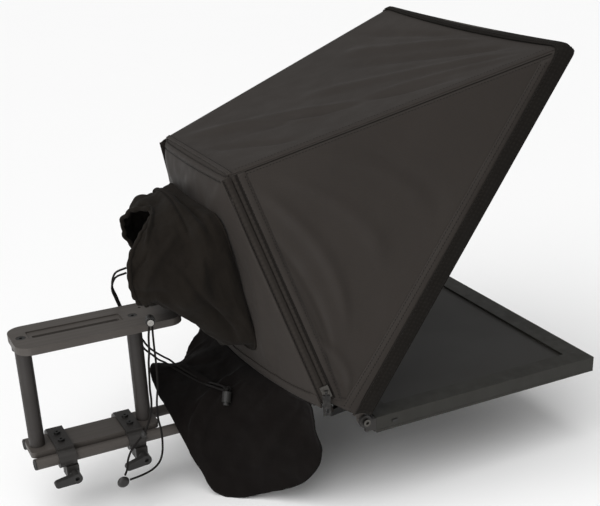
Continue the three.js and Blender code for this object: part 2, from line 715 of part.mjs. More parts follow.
function buildDrape() {
  const seamHalf = 184;
  const seamZ = backBottom.z - 8;
  const surface = (u, v) => {
    const x = seamHalf * (2 * u - 1);
    const seam = new THREE.Vector3(x, backPanelY(x, backBottom.z), seamZ);
    const edge = drapeEdge.getPoint(THREE.MathUtils.clamp(u, 0, 1));
    const hang = THREE.MathUtils.clamp((seam.z - edge.z) / 100, 0, 1) ** 2;
    const control = new THREE.Vector3(
      edge.x,
      THREE.MathUtils.lerp((seam.y + edge.y) / 2, edge.y, hang),
      THREE.MathUtils.lerp(edge.z - 13, edge.z + 0.9 * (seam.z - edge.z), hang),
    );
    return new THREE.QuadraticBezierCurve3(seam, control, edge).getPoint(v);
  };
  add('drape', sheet(surface, 32, 7, 2.4), 'velvet');
}

// ---------------------------------------------------------------- drawcords

const cordRadius = 1.4;

// A plain eight-sided tube along a hand-laid route.
function cordTube(name, route, radius = cordRadius) {
  const curve = new THREE.CatmullRomCurve3(route.map((point) => new THREE.Vector3(...point)));
  const section = new THREE.Shape();
  section.absarc(0, 0, radius, 0, 2 * Math.PI);
  const steps = Math.min(80, Math.round(curve.getLength() / (8 * radius)));
  const options = { steps, extrudePath: curve, curveSegments: 4 };
  add(name, new THREE.ExtrudeGeometry(section, options), 'cord');
}

const longCordA = [
  [-72, 177, 199], [-72, 179, 185], [-72, 180, 168], [-71, 182, 150], [-71, 183, 132],
  [-71, 184, 113], [-72, 184, 98], [-73, 186, 84], [-73, 191, 68], [-72, 198, 54],
  [-71, 209, 42], [-71, 218, 31], [-72, 223, 20], [-72, 225, 9], [-72, 229, 0],
];
const longCordB = [
  [-69, 172, 199], [-68, 172, 185], [-68, 172, 168], [-69, 172, 150], [-69, 172, 132],
  [-69, 173, 113], [-68, 175, 98], [-67, 176, 84], [-67, 176, 66], [-68, 174, 50],
  [-69, 174, 34], [-70, 176, 18], [-71, 181, 6], [-71, 190, -2], [-71, 201, -6],
  [-71, 213, -8], [-71, 223, -9],
];
const tieCordA = [
  [24, 172, 239], [35, 184, 231], [43, 188, 214], [46, 184, 198], [47, 179, 182],
  [47, 173, 164], [46, 166, 146], [45, 158, 129], [46, 152, 116], [50, 141, 103],
  [55, 131, 91], [57, 121, 83], [44, 116, 80], [31, 110, 78], [19, 105, 76],
  [3, 101, 76], [-10, 96, 75], [-22, 92, 76], [-38, 93, 81], [-50, 93, 85],
  [-60, 90, 86], [-68, 86, 86], [-75, 83, 87],
];
const tieCordB = [
  [29, 170, 244], [41, 182, 235], [48, 186, 216], [51, 181, 199], [52, 176, 182],
  [52, 169, 163], [51, 161, 145], [49, 153, 130], [50, 146, 117], [54, 135, 104],
  [59, 124, 93], [58, 114, 85], [45, 110, 82], [31, 105, 80], [17, 100, 78],
  [2, 96, 77], [-11, 91, 77], [-23, 88, 78], [-38, 89, 84], [-50, 89, 88],
  [-60, 85, 89], [-68, 82, 89], [-73, 79, 89],
];

// A cord lock: a barrel with a spring button in its end. axis points from barrel to button.
function cordLock(name, centre, axis) {
  const group = new THREE.Group();
  group.position.set(...centre);
  const up = new THREE.Vector3(0, 0, 1);
  group.quaternion.setFromUnitVectors(up, new THREE.Vector3(...axis).normalize());
  teleprompter.add(group);
  const barrel = { radius: 6, low: -8, high: 6 };
  const well = { radius: 4.4, low: -1 };
  const body = bar('z', barrel.radius, barrel.low, barrel.high, [0, 0], 20);
  const hole = bar('z', well.radius, well.low, barrel.high + 1, [0, 0], 16);
  add(name, carve([body], [hole]), 'plastic', group);
  const button = bar('z', well.radius - 0.4, well.low + 3.6, barrel.high + 4, [0, 0], 16);
  add(`${name}_button`, button, 'steel', group);
}

function buildCords() {
  cordTube('drawcord_long_a', longCordA);
  cordTube('drawcord_long_b', longCordB);
  cordTube('tie_cord_a', tieCordA);
  cordTube('tie_cord_b', tieCordB);
  cordLock('cord_lock_sleeve', [-70.5, 174.5, 206.5], [-1, 0.25, 0.1]);
  cordLock('cord_lock_drape', [-80, 85, 79], [-0.4, 0.3, -0.75]);
  const bead = new THREE.SphereGeometry(8, 12, 8).scale(0.62, 1, 1).translate(-71.5, 232, -9.5);
  add('cord_bead', bead, 'plastic');
}

// ---------------------------------------------------------------- assembly

buildRods();
buildTripodBlock();
lever('tripod_lever', 0, rodZ, -0.15, -62, -49, -rodX - rodRadius - 0.6);
buildRiser();
buildMonitor();
buildHinge(-1);
buildHinge(1);
buildGlassFrame();
buildHood();
buildZip(-1);
buildZip(1);
buildSleeve();
buildDrape();
buildCords();

export default teleprompter;
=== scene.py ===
import json
import math

import bmesh
import bpy
import numpy as np
from mathutils import Matrix, Vector, noise


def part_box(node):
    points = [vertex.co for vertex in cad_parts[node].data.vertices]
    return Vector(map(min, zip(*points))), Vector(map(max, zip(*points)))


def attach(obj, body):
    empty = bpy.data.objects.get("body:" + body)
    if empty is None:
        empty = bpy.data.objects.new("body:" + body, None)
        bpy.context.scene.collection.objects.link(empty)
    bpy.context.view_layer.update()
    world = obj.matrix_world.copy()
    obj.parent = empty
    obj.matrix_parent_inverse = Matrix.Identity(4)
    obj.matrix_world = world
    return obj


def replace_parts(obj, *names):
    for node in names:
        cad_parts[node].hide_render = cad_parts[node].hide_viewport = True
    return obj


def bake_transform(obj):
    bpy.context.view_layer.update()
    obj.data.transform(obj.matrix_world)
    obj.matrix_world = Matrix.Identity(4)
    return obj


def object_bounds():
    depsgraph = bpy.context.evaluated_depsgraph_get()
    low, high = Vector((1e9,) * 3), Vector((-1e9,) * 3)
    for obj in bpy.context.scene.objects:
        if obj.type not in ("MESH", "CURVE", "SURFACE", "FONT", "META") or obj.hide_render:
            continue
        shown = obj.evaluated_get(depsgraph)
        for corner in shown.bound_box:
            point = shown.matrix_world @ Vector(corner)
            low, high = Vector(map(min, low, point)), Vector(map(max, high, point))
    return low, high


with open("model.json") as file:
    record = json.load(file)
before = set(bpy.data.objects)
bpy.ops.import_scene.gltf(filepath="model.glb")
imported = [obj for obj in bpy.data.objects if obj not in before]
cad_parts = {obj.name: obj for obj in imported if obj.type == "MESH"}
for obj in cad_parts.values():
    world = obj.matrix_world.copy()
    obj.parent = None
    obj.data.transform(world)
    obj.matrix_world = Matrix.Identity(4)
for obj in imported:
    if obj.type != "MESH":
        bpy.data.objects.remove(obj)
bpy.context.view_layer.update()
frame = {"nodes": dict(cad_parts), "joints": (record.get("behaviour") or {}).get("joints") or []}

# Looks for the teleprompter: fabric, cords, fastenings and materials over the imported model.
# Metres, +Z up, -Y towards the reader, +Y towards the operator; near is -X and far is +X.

MM = 0.001
NODES = frame["nodes"]
JOINTS = {joint["name"]: joint for joint in frame["joints"]}

# ---------------------------------------------------------------- driving dimensions

HINGE_Y, HINGE_Z = JOINTS["glass_tilt"]["pos_m"][1:3]
GLASS_ANGLE = math.radians(55.5)
HALF_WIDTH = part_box("monitor_bezel")[1].x
# Square to the glass, from the hinge line towards the hood: the frame's face and the band's rear edge.
FRAME_FACE, BAND_REAR = 0.004, 0.023
# Up the glass from the hinge line: the feet of the shell and of the band, and the frame's top.
SHELL_FOOT, BAND_FOOT, FRAME_LENGTH = 0.004, 0.011, 0.532
# The back panel's upper and lower corners on the far side, and how far it stands out behind them.
BACK_TOP = Vector((0.110, 0.073, 0.389))
BACK_BOTTOM = Vector((0.208, -0.004, 0.106))
BACK_LIFT, BACK_BULGE = 0.014, 0.028
# Heights of the back panel's first row of points, and of its fall to the last one.
BACK_START = BACK_TOP.z - 0.001
BACK_FALL = BACK_TOP.z - BACK_BOTTOM.z + 0.003
# Half the width of the sleeve's base, and its lowest and highest points.
SLEEVE_HALF, SLEEVE_LOW, SLEEVE_HIGH = 0.098, 0.136, 0.334
CORD_DIAMETER = 0.0028
STITCH_PITCH, STITCH_LENGTH, STITCH_WIDTH = 0.0042, 0.0028, 0.0005
PANEL_CLOTH, HEM_CLOTH, HEM_LIFT = 0.0014, 0.0009, 0.0012

# Steps in the meshes.
SIDE_STEPS, TOP_STEPS, DEPTH_STEPS = 84, 72, 96
BAND_ROWS = 12
BACK_COLUMNS, BACK_ROWS = 72, 72
SLEEVE_AROUND, SLEEVE_ALONG = 180, 84
DRAPE_COLUMNS, DRAPE_ROWS = 200, 70


def mm(points):
    """Points given in millimetres, as vectors in metres."""
    return [Vector(point) * MM for point in points]


# ---------------------------------------------------------------- camera

def make_camera():
    """The camera that the photo was taken with, as its perspective gives it."""
    yaw, pitch, roll = (math.radians(a) for a in (-29.34, -23.95, -0.54))
    forward = Vector((math.cos(pitch) * math.cos(yaw), math.cos(pitch) * math.sin(yaw), math.sin(pitch)))
    right = forward.cross(Vector((0, 0, 1))).normalized()
    up = right.cross(forward)
    turned_right = math.cos(roll) * right + math.sin(roll) * up
    turned_up = math.cos(roll) * up - math.sin(roll) * right
    data = bpy.data.cameras.new("camera")
    data.sensor_width = 36
    data.lens = 63.73
    data.shift_x = -0.1255
    data.shift_y = 0.1322
    camera = bpy.data.objects.new("camera", data)
    bpy.context.collection.objects.link(camera)
    turn = Matrix((turned_right, turned_up, -forward)).transposed().to_4x4()
    camera.matrix_world = Matrix.Translation((-1.26899, 0.52621, 0.72848)) @ turn
    bpy.context.scene.camera = camera


make_camera()


# ---------------------------------------------------------------- node materials

class Shader:
    """A node material built step by step; its coordinates are the piece's own, in metres."""

    def __init__(self, name, color, roughness, metallic=0.0, specular=0.5, sheen=(0.0, 0.5)):
        self.material = bpy.data.materials.new(name)
        self.material.use_nodes = True
        self.tree = self.material.node_tree
        self.surface = self.tree.nodes["Principled BSDF"]
        self.color = color
        self.bumps = []
        self.set("Base Color", (*color, 1))
        self.set("Roughness", roughness)
        self.set("Metallic", metallic)
        self.set("Specular IOR Level", specular)
        self.set("Sheen Weight", sheen[0])
        self.set("Sheen Roughness", sheen[1])

    def set(self, socket, value):
        self.surface.inputs[socket].default_value = value

    def node(self, kind, inputs=None, **settings):
        made = self.tree.nodes.new(kind)
        for key, value in settings.items():
            setattr(made, key, value)
        for key, value in (inputs or {}).items():
            if isinstance(value, bpy.types.NodeSocket):
                self.tree.links.new(value, made.inputs[key])
            else:
                made.inputs[key].default_value = value
        return made

    def place(self, stretch=(1, 1, 1), uv=False):
        where = self.node("ShaderNodeTexCoord").outputs["UV" if uv else "Object"]
        return self.node("ShaderNodeMapping", {"Vector": where, "Scale": stretch}).outputs[0]

    def noise(self, scale, detail=3.0, stretch=(1, 1, 1)):
        inputs = {"Vector": self.place(stretch), "Scale": scale, "Detail": detail}
        return self.node("ShaderNodeTexNoise", inputs).outputs["Fac"]

    def wave(self, scale, axis, uv=False, distortion=0.0):
        inputs = {"Vector": self.place(uv=uv), "Scale": scale, "Distortion": distortion}
        return self.node("ShaderNodeTexWave", inputs, bands_direction=axis).outputs["Fac"]

    def math(self, operation, a, b):
        return self.node("ShaderNodeMath", {0: a, 1: b}, operation=operation).outputs[0]

    def remap(self, value, low=0, high=1, from_low=0.3, from_high=0.7):
        inputs = {"Value": value, "From Min": from_low, "From Max": from_high, "To Min": low, "To Max": high}
        return self.node("ShaderNodeMapRange", inputs).outputs[0]

    def vary_color(self, value, other, amount):
        """Base colour runs from its own value to other as value goes from 0 to 1."""
        mix = self.node("ShaderNodeMix", data_type="RGBA")
        current = self.surface.inputs["Base Color"]
        if current.is_linked:
            self.tree.links.new(current.links[0].from_socket, mix.inputs["A"])
        else:
            mix.inputs["A"].default_value = (*self.color, 1)
        mix.inputs["B"].default_value = (*other, 1)
        self.tree.links.new(self.math("MULTIPLY", value, amount), mix.inputs["Factor"])
        self.tree.links.new(mix.outputs["Result"], current)

    def patches(self, scale, detail, other, amount):
        """Uneven patches of another colour, laid out by a noise."""
        self.vary_color(self.remap(self.noise(scale, detail)), other, amount)

    def vary_roughness(self, value, low, high):
        self.tree.links.new(self.remap(value, low, high), self.surface.inputs["Roughness"])

    def grain(self, value, low, high, distance, strength):
        """Unevenness in both the roughness and the height of the surface."""
        self.vary_roughness(value, low, high)
        self.bump(value, distance, strength)

    def bump(self, height, distance, strength):
        inputs = {"Height": height, "Distance": distance, "Strength": strength}
        if self.bumps:
            inputs["Normal"] = self.bumps[-1]
        self.bumps.append(self.node("ShaderNodeBump", inputs).outputs[0])
        self.tree.links.new(self.bumps[-1], self.surface.inputs["Normal"])

    def weave(self, thread, distance, strength, other, amount):
        """A plain weave in the piece's UV metres: threads at right angles that repeat every 2 pi threads."""
        wave_repeat = 0.314
        scale = 1 / (thread * 6.2832) * wave_repeat
        warp = self.wave(scale, "X", uv=True)
        weft = self.wave(scale, "Y", uv=True)
        self.bump(self.math("MAXIMUM", warp, weft), distance, strength)
        self.vary_color(self.math("MULTIPLY", warp, weft), other, amount)


def nylon_material():
    shader = Shader("nylon", (0.0245, 0.0205, 0.0178), 0.62, specular=0.13, sheen=(0.03, 0.5))
    shader.weave(0.0006, 0.00008, 0.12, (0.033, 0.0275, 0.0238), 0.35)
    shader.patches(7, 4, (0.0195, 0.0163, 0.0141), 0.6)
    shader.patches(420, 3, (0.031, 0.026, 0.0227), 0.25)
    shader.vary_roughness(shader.noise(30), 0.55, 0.7)
    shader.bump(shader.noise(38), 0.0010, 0.25)
    return shader.material


def napped_material(name, color, worn):
    """Napped black cloth: almost no shine, with brushed patches."""
    shader = Shader(name, color, 0.95, specular=0.04, sheen=(0.02, 0.6))
    shader.patches(34, 4, worn, 0.8)
    shader.patches(900, 2, tuple(0.6 * part for part in color), 0.5)
    shader.bump(shader.noise(1400, 2), 0.0003, 0.5)
    shader.bump(shader.noise(70), 0.0012, 0.3)
    return shader.material


def webbing_material():
    """The band and the trims, and the painted shadow lines below the upper seams: black, with a fine ribbed
    nap.
    """
    shader = Shader("webbing", (0.0085, 0.0072, 0.0060), 0.85, specular=0.06, sheen=(0.02, 0.5))
    shader.weave(0.0009, 0.0002, 0.3, (0.021, 0.0185, 0.016), 0.5)
    shader.patches(25, 4, (0.009, 0.008, 0.007), 0.6)
    shader.vary_roughness(shader.noise(60), 0.75, 0.95)
    return shader.material


def tape_material():
    """The zip's woven tape, a little darker than the panels."""
    shader = Shader("zip_tape", (0.019, 0.016, 0.0138), 0.8, specular=0.08, sheen=(0.02, 0.5))
    shader.weave(0.0010, 0.0002, 0.35, (0.034, 0.029, 0.0255), 0.5)
    shader.patches(50, 3, (0.017, 0.0145, 0.0125), 0.5)
    return shader.material


def thread_material():
    shader = Shader("thread", (0.008, 0.007, 0.0062), 0.8, specular=0.1, sheen=(0.05, 0.4))
    twist = shader.wave(220, "DIAGONAL")
    shader.vary_color(twist, (0.020, 0.0175, 0.0155), 0.5)
    shader.bump(twist, 0.0002, 0.5)
    return shader.material


def cord_material():
    shader = Shader("woven_cord", (0.008, 0.0073, 0.007), 0.8, specular=0.06, sheen=(0.02, 0.5))
    braid = shader.wave(330, "DIAGONAL", distortion=1.5)
    shader.vary_color(braid, (0.016, 0.014, 0.0125), 0.5)
    shader.bump(braid, 0.0004, 0.7)
    return shader.material


def anodised_material(name, color, worn):
    shader = Shader(name, color, 0.55, specular=0.3)
    shader.patches(20, 4, worn, 0.7)
    shader.grain(shader.noise(160, stretch=(1, 0.03, 1)), 0.42, 0.58, 0.00008, 0.25)
    return shader.material


def casting_material():
    shader = Shader("casting", (0.022, 0.020, 0.0185), 0.55, metallic=0.25, specular=0.35)
    shader.patches(26, 4, (0.036, 0.034, 0.032), 0.7)
    shader.grain(shader.noise(900), 0.42, 0.62, 0.00025, 0.4)
    return shader.material


def steel_material():
    shader = Shader("bright_steel", (0.40, 0.39, 0.37), 0.26, metallic=1.0)
    shader.patches(120, 3, (0.20, 0.19, 0.18), 0.8)
    shader.grain(shader.noise(500, stretch=(1, 0.08, 1)), 0.18, 0.36, 0.00004, 0.3)
    return shader.material


def nickel_material():
    shader = Shader("dark_nickel", (0.10, 0.095, 0.088), 0.38, metallic=1.0)
    wear = shader.noise(260)
    shader.vary_color(shader.remap(wear), (0.08, 0.075, 0.068), 0.9)
    shader.grain(wear, 0.24, 0.45, 0.00006, 0.3)
    return shader.material


def black_steel_material():
    shader = Shader("black_steel", (0.028, 0.027, 0.026), 0.38, metallic=0.8)
    wear = shader.noise(300)
    shader.vary_color(shader.remap(wear, from_low=0.5, from_high=0.8), (0.09, 0.085, 0.08), 0.6)
    shader.grain(wear, 0.3, 0.5, 0.00005, 0.3)
    return shader.material


def plastic_material():
    shader = Shader("moulded_plastic", (0.013, 0.0122, 0.0115), 0.5, specular=0.35)
    shader.patches(45, 3, (0.021, 0.020, 0.019), 0.6)
    shader.grain(shader.noise(1500, 2), 0.42, 0.58, 0.00012, 0.3)
    return shader.material


def housing_material():
    """Powder coat: a fine orange-peel over black steel."""
    shader = Shader("powder_coat", (0.0155, 0.0145, 0.0115), 0.52, specular=0.3)
    shader.patches(14, 4, (0.023, 0.022, 0.018), 0.7)
    shader.vary_roughness(shader.noise(60), 0.46, 0.6)
    shader.bump(shader.noise(1100, 2), 0.00008, 0.25)
    return shader.material


def screen_material():
    shader = Shader("screen", (0.016, 0.0145, 0.0125), 0.5, specular=0.38)
    haze = shader.noise(6)
    shader.vary_color(shader.remap(haze), (0.021, 0.019, 0.0165), 0.6)
    shader.vary_roughness(haze, 0.46, 0.56)
    shader.bump(shader.noise(2500, 1), 0.00003, 0.15)
    return shader.material


def board_material():
    shader = Shader("board", (0.014, 0.075, 0.026), 0.4)
    tracks = shader.wave(160, "DIAGONAL", distortion=6)
    shader.vary_color(shader.remap(tracks, from_low=0.6, from_high=0.8), (0.03, 0.12, 0.05), 0.7)
    shader.bump(tracks, 0.0001, 0.3)
    return shader.material


def glass_material():
    shader = Shader("beamsplitter", (0.82, 0.86, 0.84), 0.02)
    shader.set("Transmission Weight", 0.9)
    shader.set("IOR", 1.52)
    shader.vary_roughness(shader.noise(8, 2), 0.01, 0.03)
    return shader.material


MATERIALS = {
    "nylon": nylon_material(),
    "sleeve": napped_material("sleeve_cloth", (0.0100, 0.0081, 0.0064), (0.0140, 0.0115, 0.0094)),
    "drape": napped_material("drape_cloth", (0.0046, 0.0036, 0.0033), (0.0066, 0.0053, 0.0048)),
    "webbing": webbing_material(),
    "tape": tape_material(),
    "thread": thread_material(),
    "cord": cord_material(),
    "anodised": anodised_material("anodised", (0.054, 0.047, 0.042), (0.063, 0.056, 0.050)),
    # The riser posts' copy of the anodising: the same finish with its colour darkened as painted shade on
    # their upright sides.
    "anodised_painted_shade": anodised_material("anodised_painted_shade", (0.022, 0.019, 0.0175), (0.028, 0.0245, 0.0225)),
    "casting": casting_material(),
    "steel": steel_material(),
    "black_steel": black_steel_material(),
    "dark_nickel": nickel_material(),
    "plastic": plastic_material(),
    "housing": housing_material(),
    "screen": screen_material(),
    "board": board_material(),
    "glass": glass_material(),
}


# ---------------------------------------------------------------- piece helpers

def piece(name, mesh, material, body="glass_hood", smooth=True):
    """A new object for a mesh, with its material, riding on a body unless body is None."""
    made = bpy.data.objects.new(name, mesh)
    bpy.context.collection.objects.link(made)
    made.data.materials.clear()
    made.data.materials.append(MATERIALS[material])
    if smooth:
        mesh.polygons.foreach_set("use_smooth", [True] * len(mesh.polygons))
    if body:
        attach(made, body)
    return made


def mesh_from(name, points, faces, uvs=None):
    mesh = bpy.data.meshes.new(name)
    mesh.from_pydata([tuple(point) for point in points], [], faces)
    if uvs is not None:
        layer = mesh.uv_layers.new(name="metres")
        loops = np.empty(len(mesh.loops), dtype=np.int32)
        mesh.loops.foreach_get("vertex_index", loops)
        layer.data.foreach_set("uv", np.asarray(uvs, dtype=np.float32)[loops].ravel())
    mesh.validate()
    mesh.update()
    return mesh


def mesh_of(bm, name):
    """The mesh of a finished bmesh, which is freed."""
    mesh = bpy.data.meshes.new(name)
    bm.to_mesh(mesh)
    bm.free()
    return mesh


def grid_faces(columns, rows, closed=False):
    """Quads over a grid stored row by row; where closed, the last column joins the first."""
    width = columns if closed else columns + 1
    faces = []
    for row in range(rows):
        for column in range(columns):
            after = (column + 1) % columns if closed else column + 1
            faces.append((
                row * width + column, row * width + after,
                (row + 1) * width + after, (row + 1) * width + column,
            ))
    return faces


def lengths(points, axis):
    """Running length along one axis of a grid of points, from 0."""
    steps = np.linalg.norm(np.diff(points, axis=axis), axis=2)
    pad = np.zeros_like(np.take(points, [0], axis=axis)[..., 0])
    return np.concatenate([pad, np.cumsum(steps, axis=axis)], axis=axis)


def unit_grid(rows, columns):
    """Places across and down a grid, both from 0 to 1."""
    return np.meshgrid(np.linspace(0, 1, columns + 1), np.linspace(0, 1, rows + 1))


def cloth_mesh(name, points, keep=None, closed=False):
    """A mesh over an array of points, rows by columns, with UVs in metres."""
    rows, width = points.shape[0] - 1, points.shape[1]
    columns = width if closed else width - 1
    uvs = np.stack([lengths(points, 1), lengths(points, 0)], axis=-1).reshape(-1, 2)
    flat = points.reshape(-1, 3)
    faces = grid_faces(columns, rows, closed)
    if keep is not None:
        faces = [face for face in faces if keep(flat[list(face)].mean(axis=0))]
        used = sorted({index for face in faces for index in face})
        place = {index: new for new, index in enumerate(used)}
        faces = [tuple(place[index] for index in face) for face in faces]
        flat, uvs = flat[used], uvs[used]
    return mesh_from(name, flat, faces, uvs)


def cloth(name, points, material, thickness, keep=None, closed=False, body="glass_hood"):
    """A sheet of cloth over a grid of points, as thick on one side of them as on the other."""
    made = piece(name, cloth_mesh(name, points, keep, closed), material, body)
    solidify = made.modifiers.new("thickness", "SOLIDIFY")
    solidify.thickness = thickness
    solidify.offset = 0.0
    return made


def normals_of(points, closed=False):
    if closed:
        wrapped = np.concatenate([points[:, -1:], points, points[:, :1]], axis=1)
        across = np.gradient(wrapped, axis=1)[:, 1:-1]
    else:
        across = np.gradient(points, axis=1)
    along = np.gradient(points, axis=0)
    normal = np.cross(across, along)
    size = np.linalg.norm(normal, axis=2, keepdims=True)
    return normal / np.maximum(size, 1e-12)


def turned_out(normals, directions):
    """Normals, each turned over where it points against its direction."""
    return normals * np.sign((normals * directions).sum(axis=2, keepdims=True))


def soften(points, passes):
    """Rounds a grid of points from column to column by repeated averaging; the end columns stay."""
    result = points.copy()
    for _ in range(passes):
        result[:, 1:-1] = (result[:, :-2] + 2 * result[:, 1:-1] + result[:, 2:]) / 4
    return result


def crease(u, v, start, end, width, height):
    """A soft ridge of cloth along a line in a panel's own 0-to-1 coordinates."""
    ax, ay = start
    dx, dy = end[0] - ax, end[1] - ay
    length = math.hypot(dx, dy)
    along = ((u - ax) * dx + (v - ay) * dy) / length ** 2
    off = ((u - ax) * dy - (v - ay) * dx) / length
    fade = np.clip(along * 4, 0, 1) * np.clip((1 - along) * 4, 0, 1)
    fade = fade * fade * (3 - 2 * fade)
    spread = width * (0.6 + 0.8 * np.clip(along, 0, 1))
    return height * fade * np.exp(-(off / spread) ** 2)


def folded(u, v, folds):
    """The lift of a panel's folds, each given as its start, end, width and height."""
    return sum(crease(u, v, *fold) for fold in folds)


def cloth_noise(points, scale, height, seed):
    """Gentle uneven lift over a grid, the same each run."""
    flat = points.reshape(-1, 3)
    shift = Vector((seed, 1.7 * seed, -0.6 * seed))
    lift = [noise.fractal(Vector(point) * scale + shift, 0.7, 2.1, 3) for point in flat]
    return height * np.array(lift).reshape(points.shape[:2])


def vectors(points):
    return [Vector(point) for point in points]


def raised(points, normals, lift):
    """A line of points lifted along their normals, as vectors."""
    return [Vector(p) + Vector(n) * lift for p, n in zip(points, normals)]


def spline_point(before, start, end, after, t):
    """A point on the smooth curve from start to end, where t goes from 0 to 1."""
    return 0.5 * (
        2 * start + (end - before) * t
        + (2 * before - 5 * start + 4 * end - after) * t ** 2
        + (3 * start - before - 3 * end + after) * t ** 3
    )


def smooth_line(points, steps):
    """A smooth line through the points, with the same number of steps between each pair."""
    padded = [2 * points[0] - points[1], *points, 2 * points[-1] - points[-2]]
    line = []
    for corners in zip(padded, padded[1:], padded[2:], padded[3:]):
        line += [spline_point(*corners, step / steps) for step in range(steps)]
    line.append(points[-1].copy())
    return line


def strand(name, path, radius, roundness, cyclic=False):
    """A round strand along a list of points, as an object with one open or closed spline."""
    curve = bpy.data.curves.new(name, "CURVE")
    curve.dimensions = "3D"
    curve.bevel_depth = radius
    curve.bevel_resolution = roundness
    curve.use_fill_caps = True
    spline = curve.splines.new("POLY")
    spline.points.add(len(path) - 1)
    for point, place in zip(spline.points, path):
        point.co = (*place, 1)
    spline.use_cyclic_u = cyclic
    made = bpy.data.objects.new(name, curve)
    bpy.context.collection.objects.link(made)
    return made


def tube(name, path, radius, material, cyclic=False):
    """A round strand along a list of points, as a mesh."""
    holder = strand(name, path, radius, 2, cyclic)
    mesh = bpy.data.meshes.new_from_object(holder.evaluated_get(bpy.context.evaluated_depsgraph_get()))
    curve = holder.data
    bpy.data.objects.remove(holder)
    bpy.data.curves.remove(curve)
    mesh.name = name
    return piece(name, mesh, material)


def stitches(name, points, normals, lift):
    """A row of separate thread stitches along a line lifted off the cloth, sunk halfway into it."""
    line, normals = raised(points, normals, lift), vectors(normals)
    bm = bmesh.new()
    scale = Matrix.Diagonal((STITCH_LENGTH / 2, STITCH_WIDTH, STITCH_WIDTH, 1))
    travelled = 0.0
    for (a, b), normal in zip(zip(line, line[1:]), normals):
        step = b - a
        span = step.length
        if span < 1e-9:
            continue
        axes = (step.normalized(), normal.cross(step).normalized(), normal.normalized())
        turn = Matrix(axes).transposed().to_4x4()
        while travelled < span:
            centre = a + step * (travelled / span) + normal * STITCH_WIDTH * 0.4
            place = Matrix.Translation(centre) @ turn @ scale
            bmesh.ops.create_icosphere(bm, subdivisions=1, radius=1, matrix=place)
            travelled += STITCH_PITCH
        travelled -= span
    return piece(name, mesh_of(bm, name), "thread")


# ---------------------------------------------------------------- cords

LONG_CORD_A = mm([
    (-72, 177, 199), (-72, 179, 185), (-72, 180, 168), (-71, 182, 150), (-71, 183, 132),
    (-71, 184, 113), (-72, 184, 98), (-73, 186, 84), (-73, 191, 68), (-72, 198, 54),
    (-71, 209, 42), (-71, 218, 31), (-72, 223, 20), (-72, 225, 9), (-72, 229, 0),
])
LONG_CORD_B = mm([
    (-69, 172, 199), (-68, 172, 185), (-68, 172, 168), (-69, 172, 150), (-69, 172, 132),
    (-69, 173, 113), (-68, 175, 98), (-67, 176, 84), (-67, 176, 66), (-68, 174, 50),
    (-69, 174, 34), (-70, 176, 18), (-71, 181, 6), (-71, 190, -2), (-71, 201, -6),
    (-71, 213, -8), (-71, 223, -9),
])
TIE_CORD_A = mm([
    (24, 172, 239), (35, 184, 231), (43, 188, 214), (46, 184, 198), (47, 179, 182),
    (47, 173, 164), (46, 166, 146), (45, 158, 129), (46, 152, 116), (50, 141, 103),
    (55, 131, 91), (57, 121, 83), (44, 116, 80), (31, 110, 78), (19, 105, 76),
    (3, 101, 76), (-10, 96, 75), (-22, 92, 76), (-38, 93, 81), (-50, 93, 85),
    (-60, 90, 86), (-68, 86, 86), (-75, 83, 87),
])
TIE_CORD_B = mm([
    (29, 170, 244), (41, 182, 235), (48, 186, 216), (51, 181, 199), (52, 176, 182),
    (52, 169, 163), (51, 161, 145), (49, 153, 130), (50, 146, 117), (54, 135, 104),
    (59, 124, 93), (58, 114, 85), (45, 110, 82), (31, 105, 80), (17, 100, 78),
    (2, 96, 77), (-11, 91, 77), (-23, 88, 78), (-38, 89, 84), (-50, 89, 88),
    (-60, 85, 89), (-68, 82, 89), (-73, 79, 89),
])
STOP_CENTRE = Vector((-0.0715, 0.1985, 0.052))
STOP_RADIUS, STOP_LENGTH = 0.0034, 0.008
KNOT_CENTRE = Vector((-0.0745, 0.0815, 0.0885))
KNOT_STEPS, KNOT_ACROSS, KNOT_DEPTH = 48, 0.0017, 0.0022


def free_cord(name, node, route):
    """A woven cord along its route."""
    line = smooth_line(route, 4)
    made = strand(name, line, CORD_DIAMETER / 2, 3)
    made.data.materials.append(MATERIALS["cord"])
    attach(made, "glass_hood")
    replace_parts(made, node)


def tie_knot():
    """An overhand knot: a trefoil of the same cord, drawn tight."""
    line = []
    for step in range(KNOT_STEPS):
        t = 2 * math.pi * step / KNOT_STEPS
        line.append(KNOT_CENTRE + Vector((
            (math.sin(t) + 1.6 * math.sin(2 * t)) * KNOT_ACROSS,
            (math.cos(t) - 1.6 * math.cos(2 * t)) * KNOT_ACROSS,
            -math.sin(3 * t) * KNOT_DEPTH,
        )))
    return tube("tie_knot", line, CORD_DIAMETER / 2, "cord", cyclic=True)


def end_bead():
    """The stopper on the long cords' end: a flattened moulded bead with a rim and a bore on each side."""
    low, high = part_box("cord_bead")
    centre, size = (low + high) / 2, (high - low) / 2
    bm = bmesh.new()
    bmesh.ops.create_uvsphere(bm, u_segments=40, v_segments=24, radius=1)
    for vert in bm.verts:
        rim = math.exp(-(vert.co.x / 0.18) ** 2)
        dimple = math.exp(-((abs(vert.co.x) - 1) / 0.12) ** 2)
        vert.co *= 1 - 0.05 * (1 - rim) - 0.18 * dimple
    mesh = mesh_of(bm, "cord_end_bead")
    mesh.transform(Matrix.Translation(centre) @ Matrix.Diagonal((*size, 1)))
    made = piece("cord_end_bead", mesh, "plastic")
    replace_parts(made, "cord_bead")
    return made


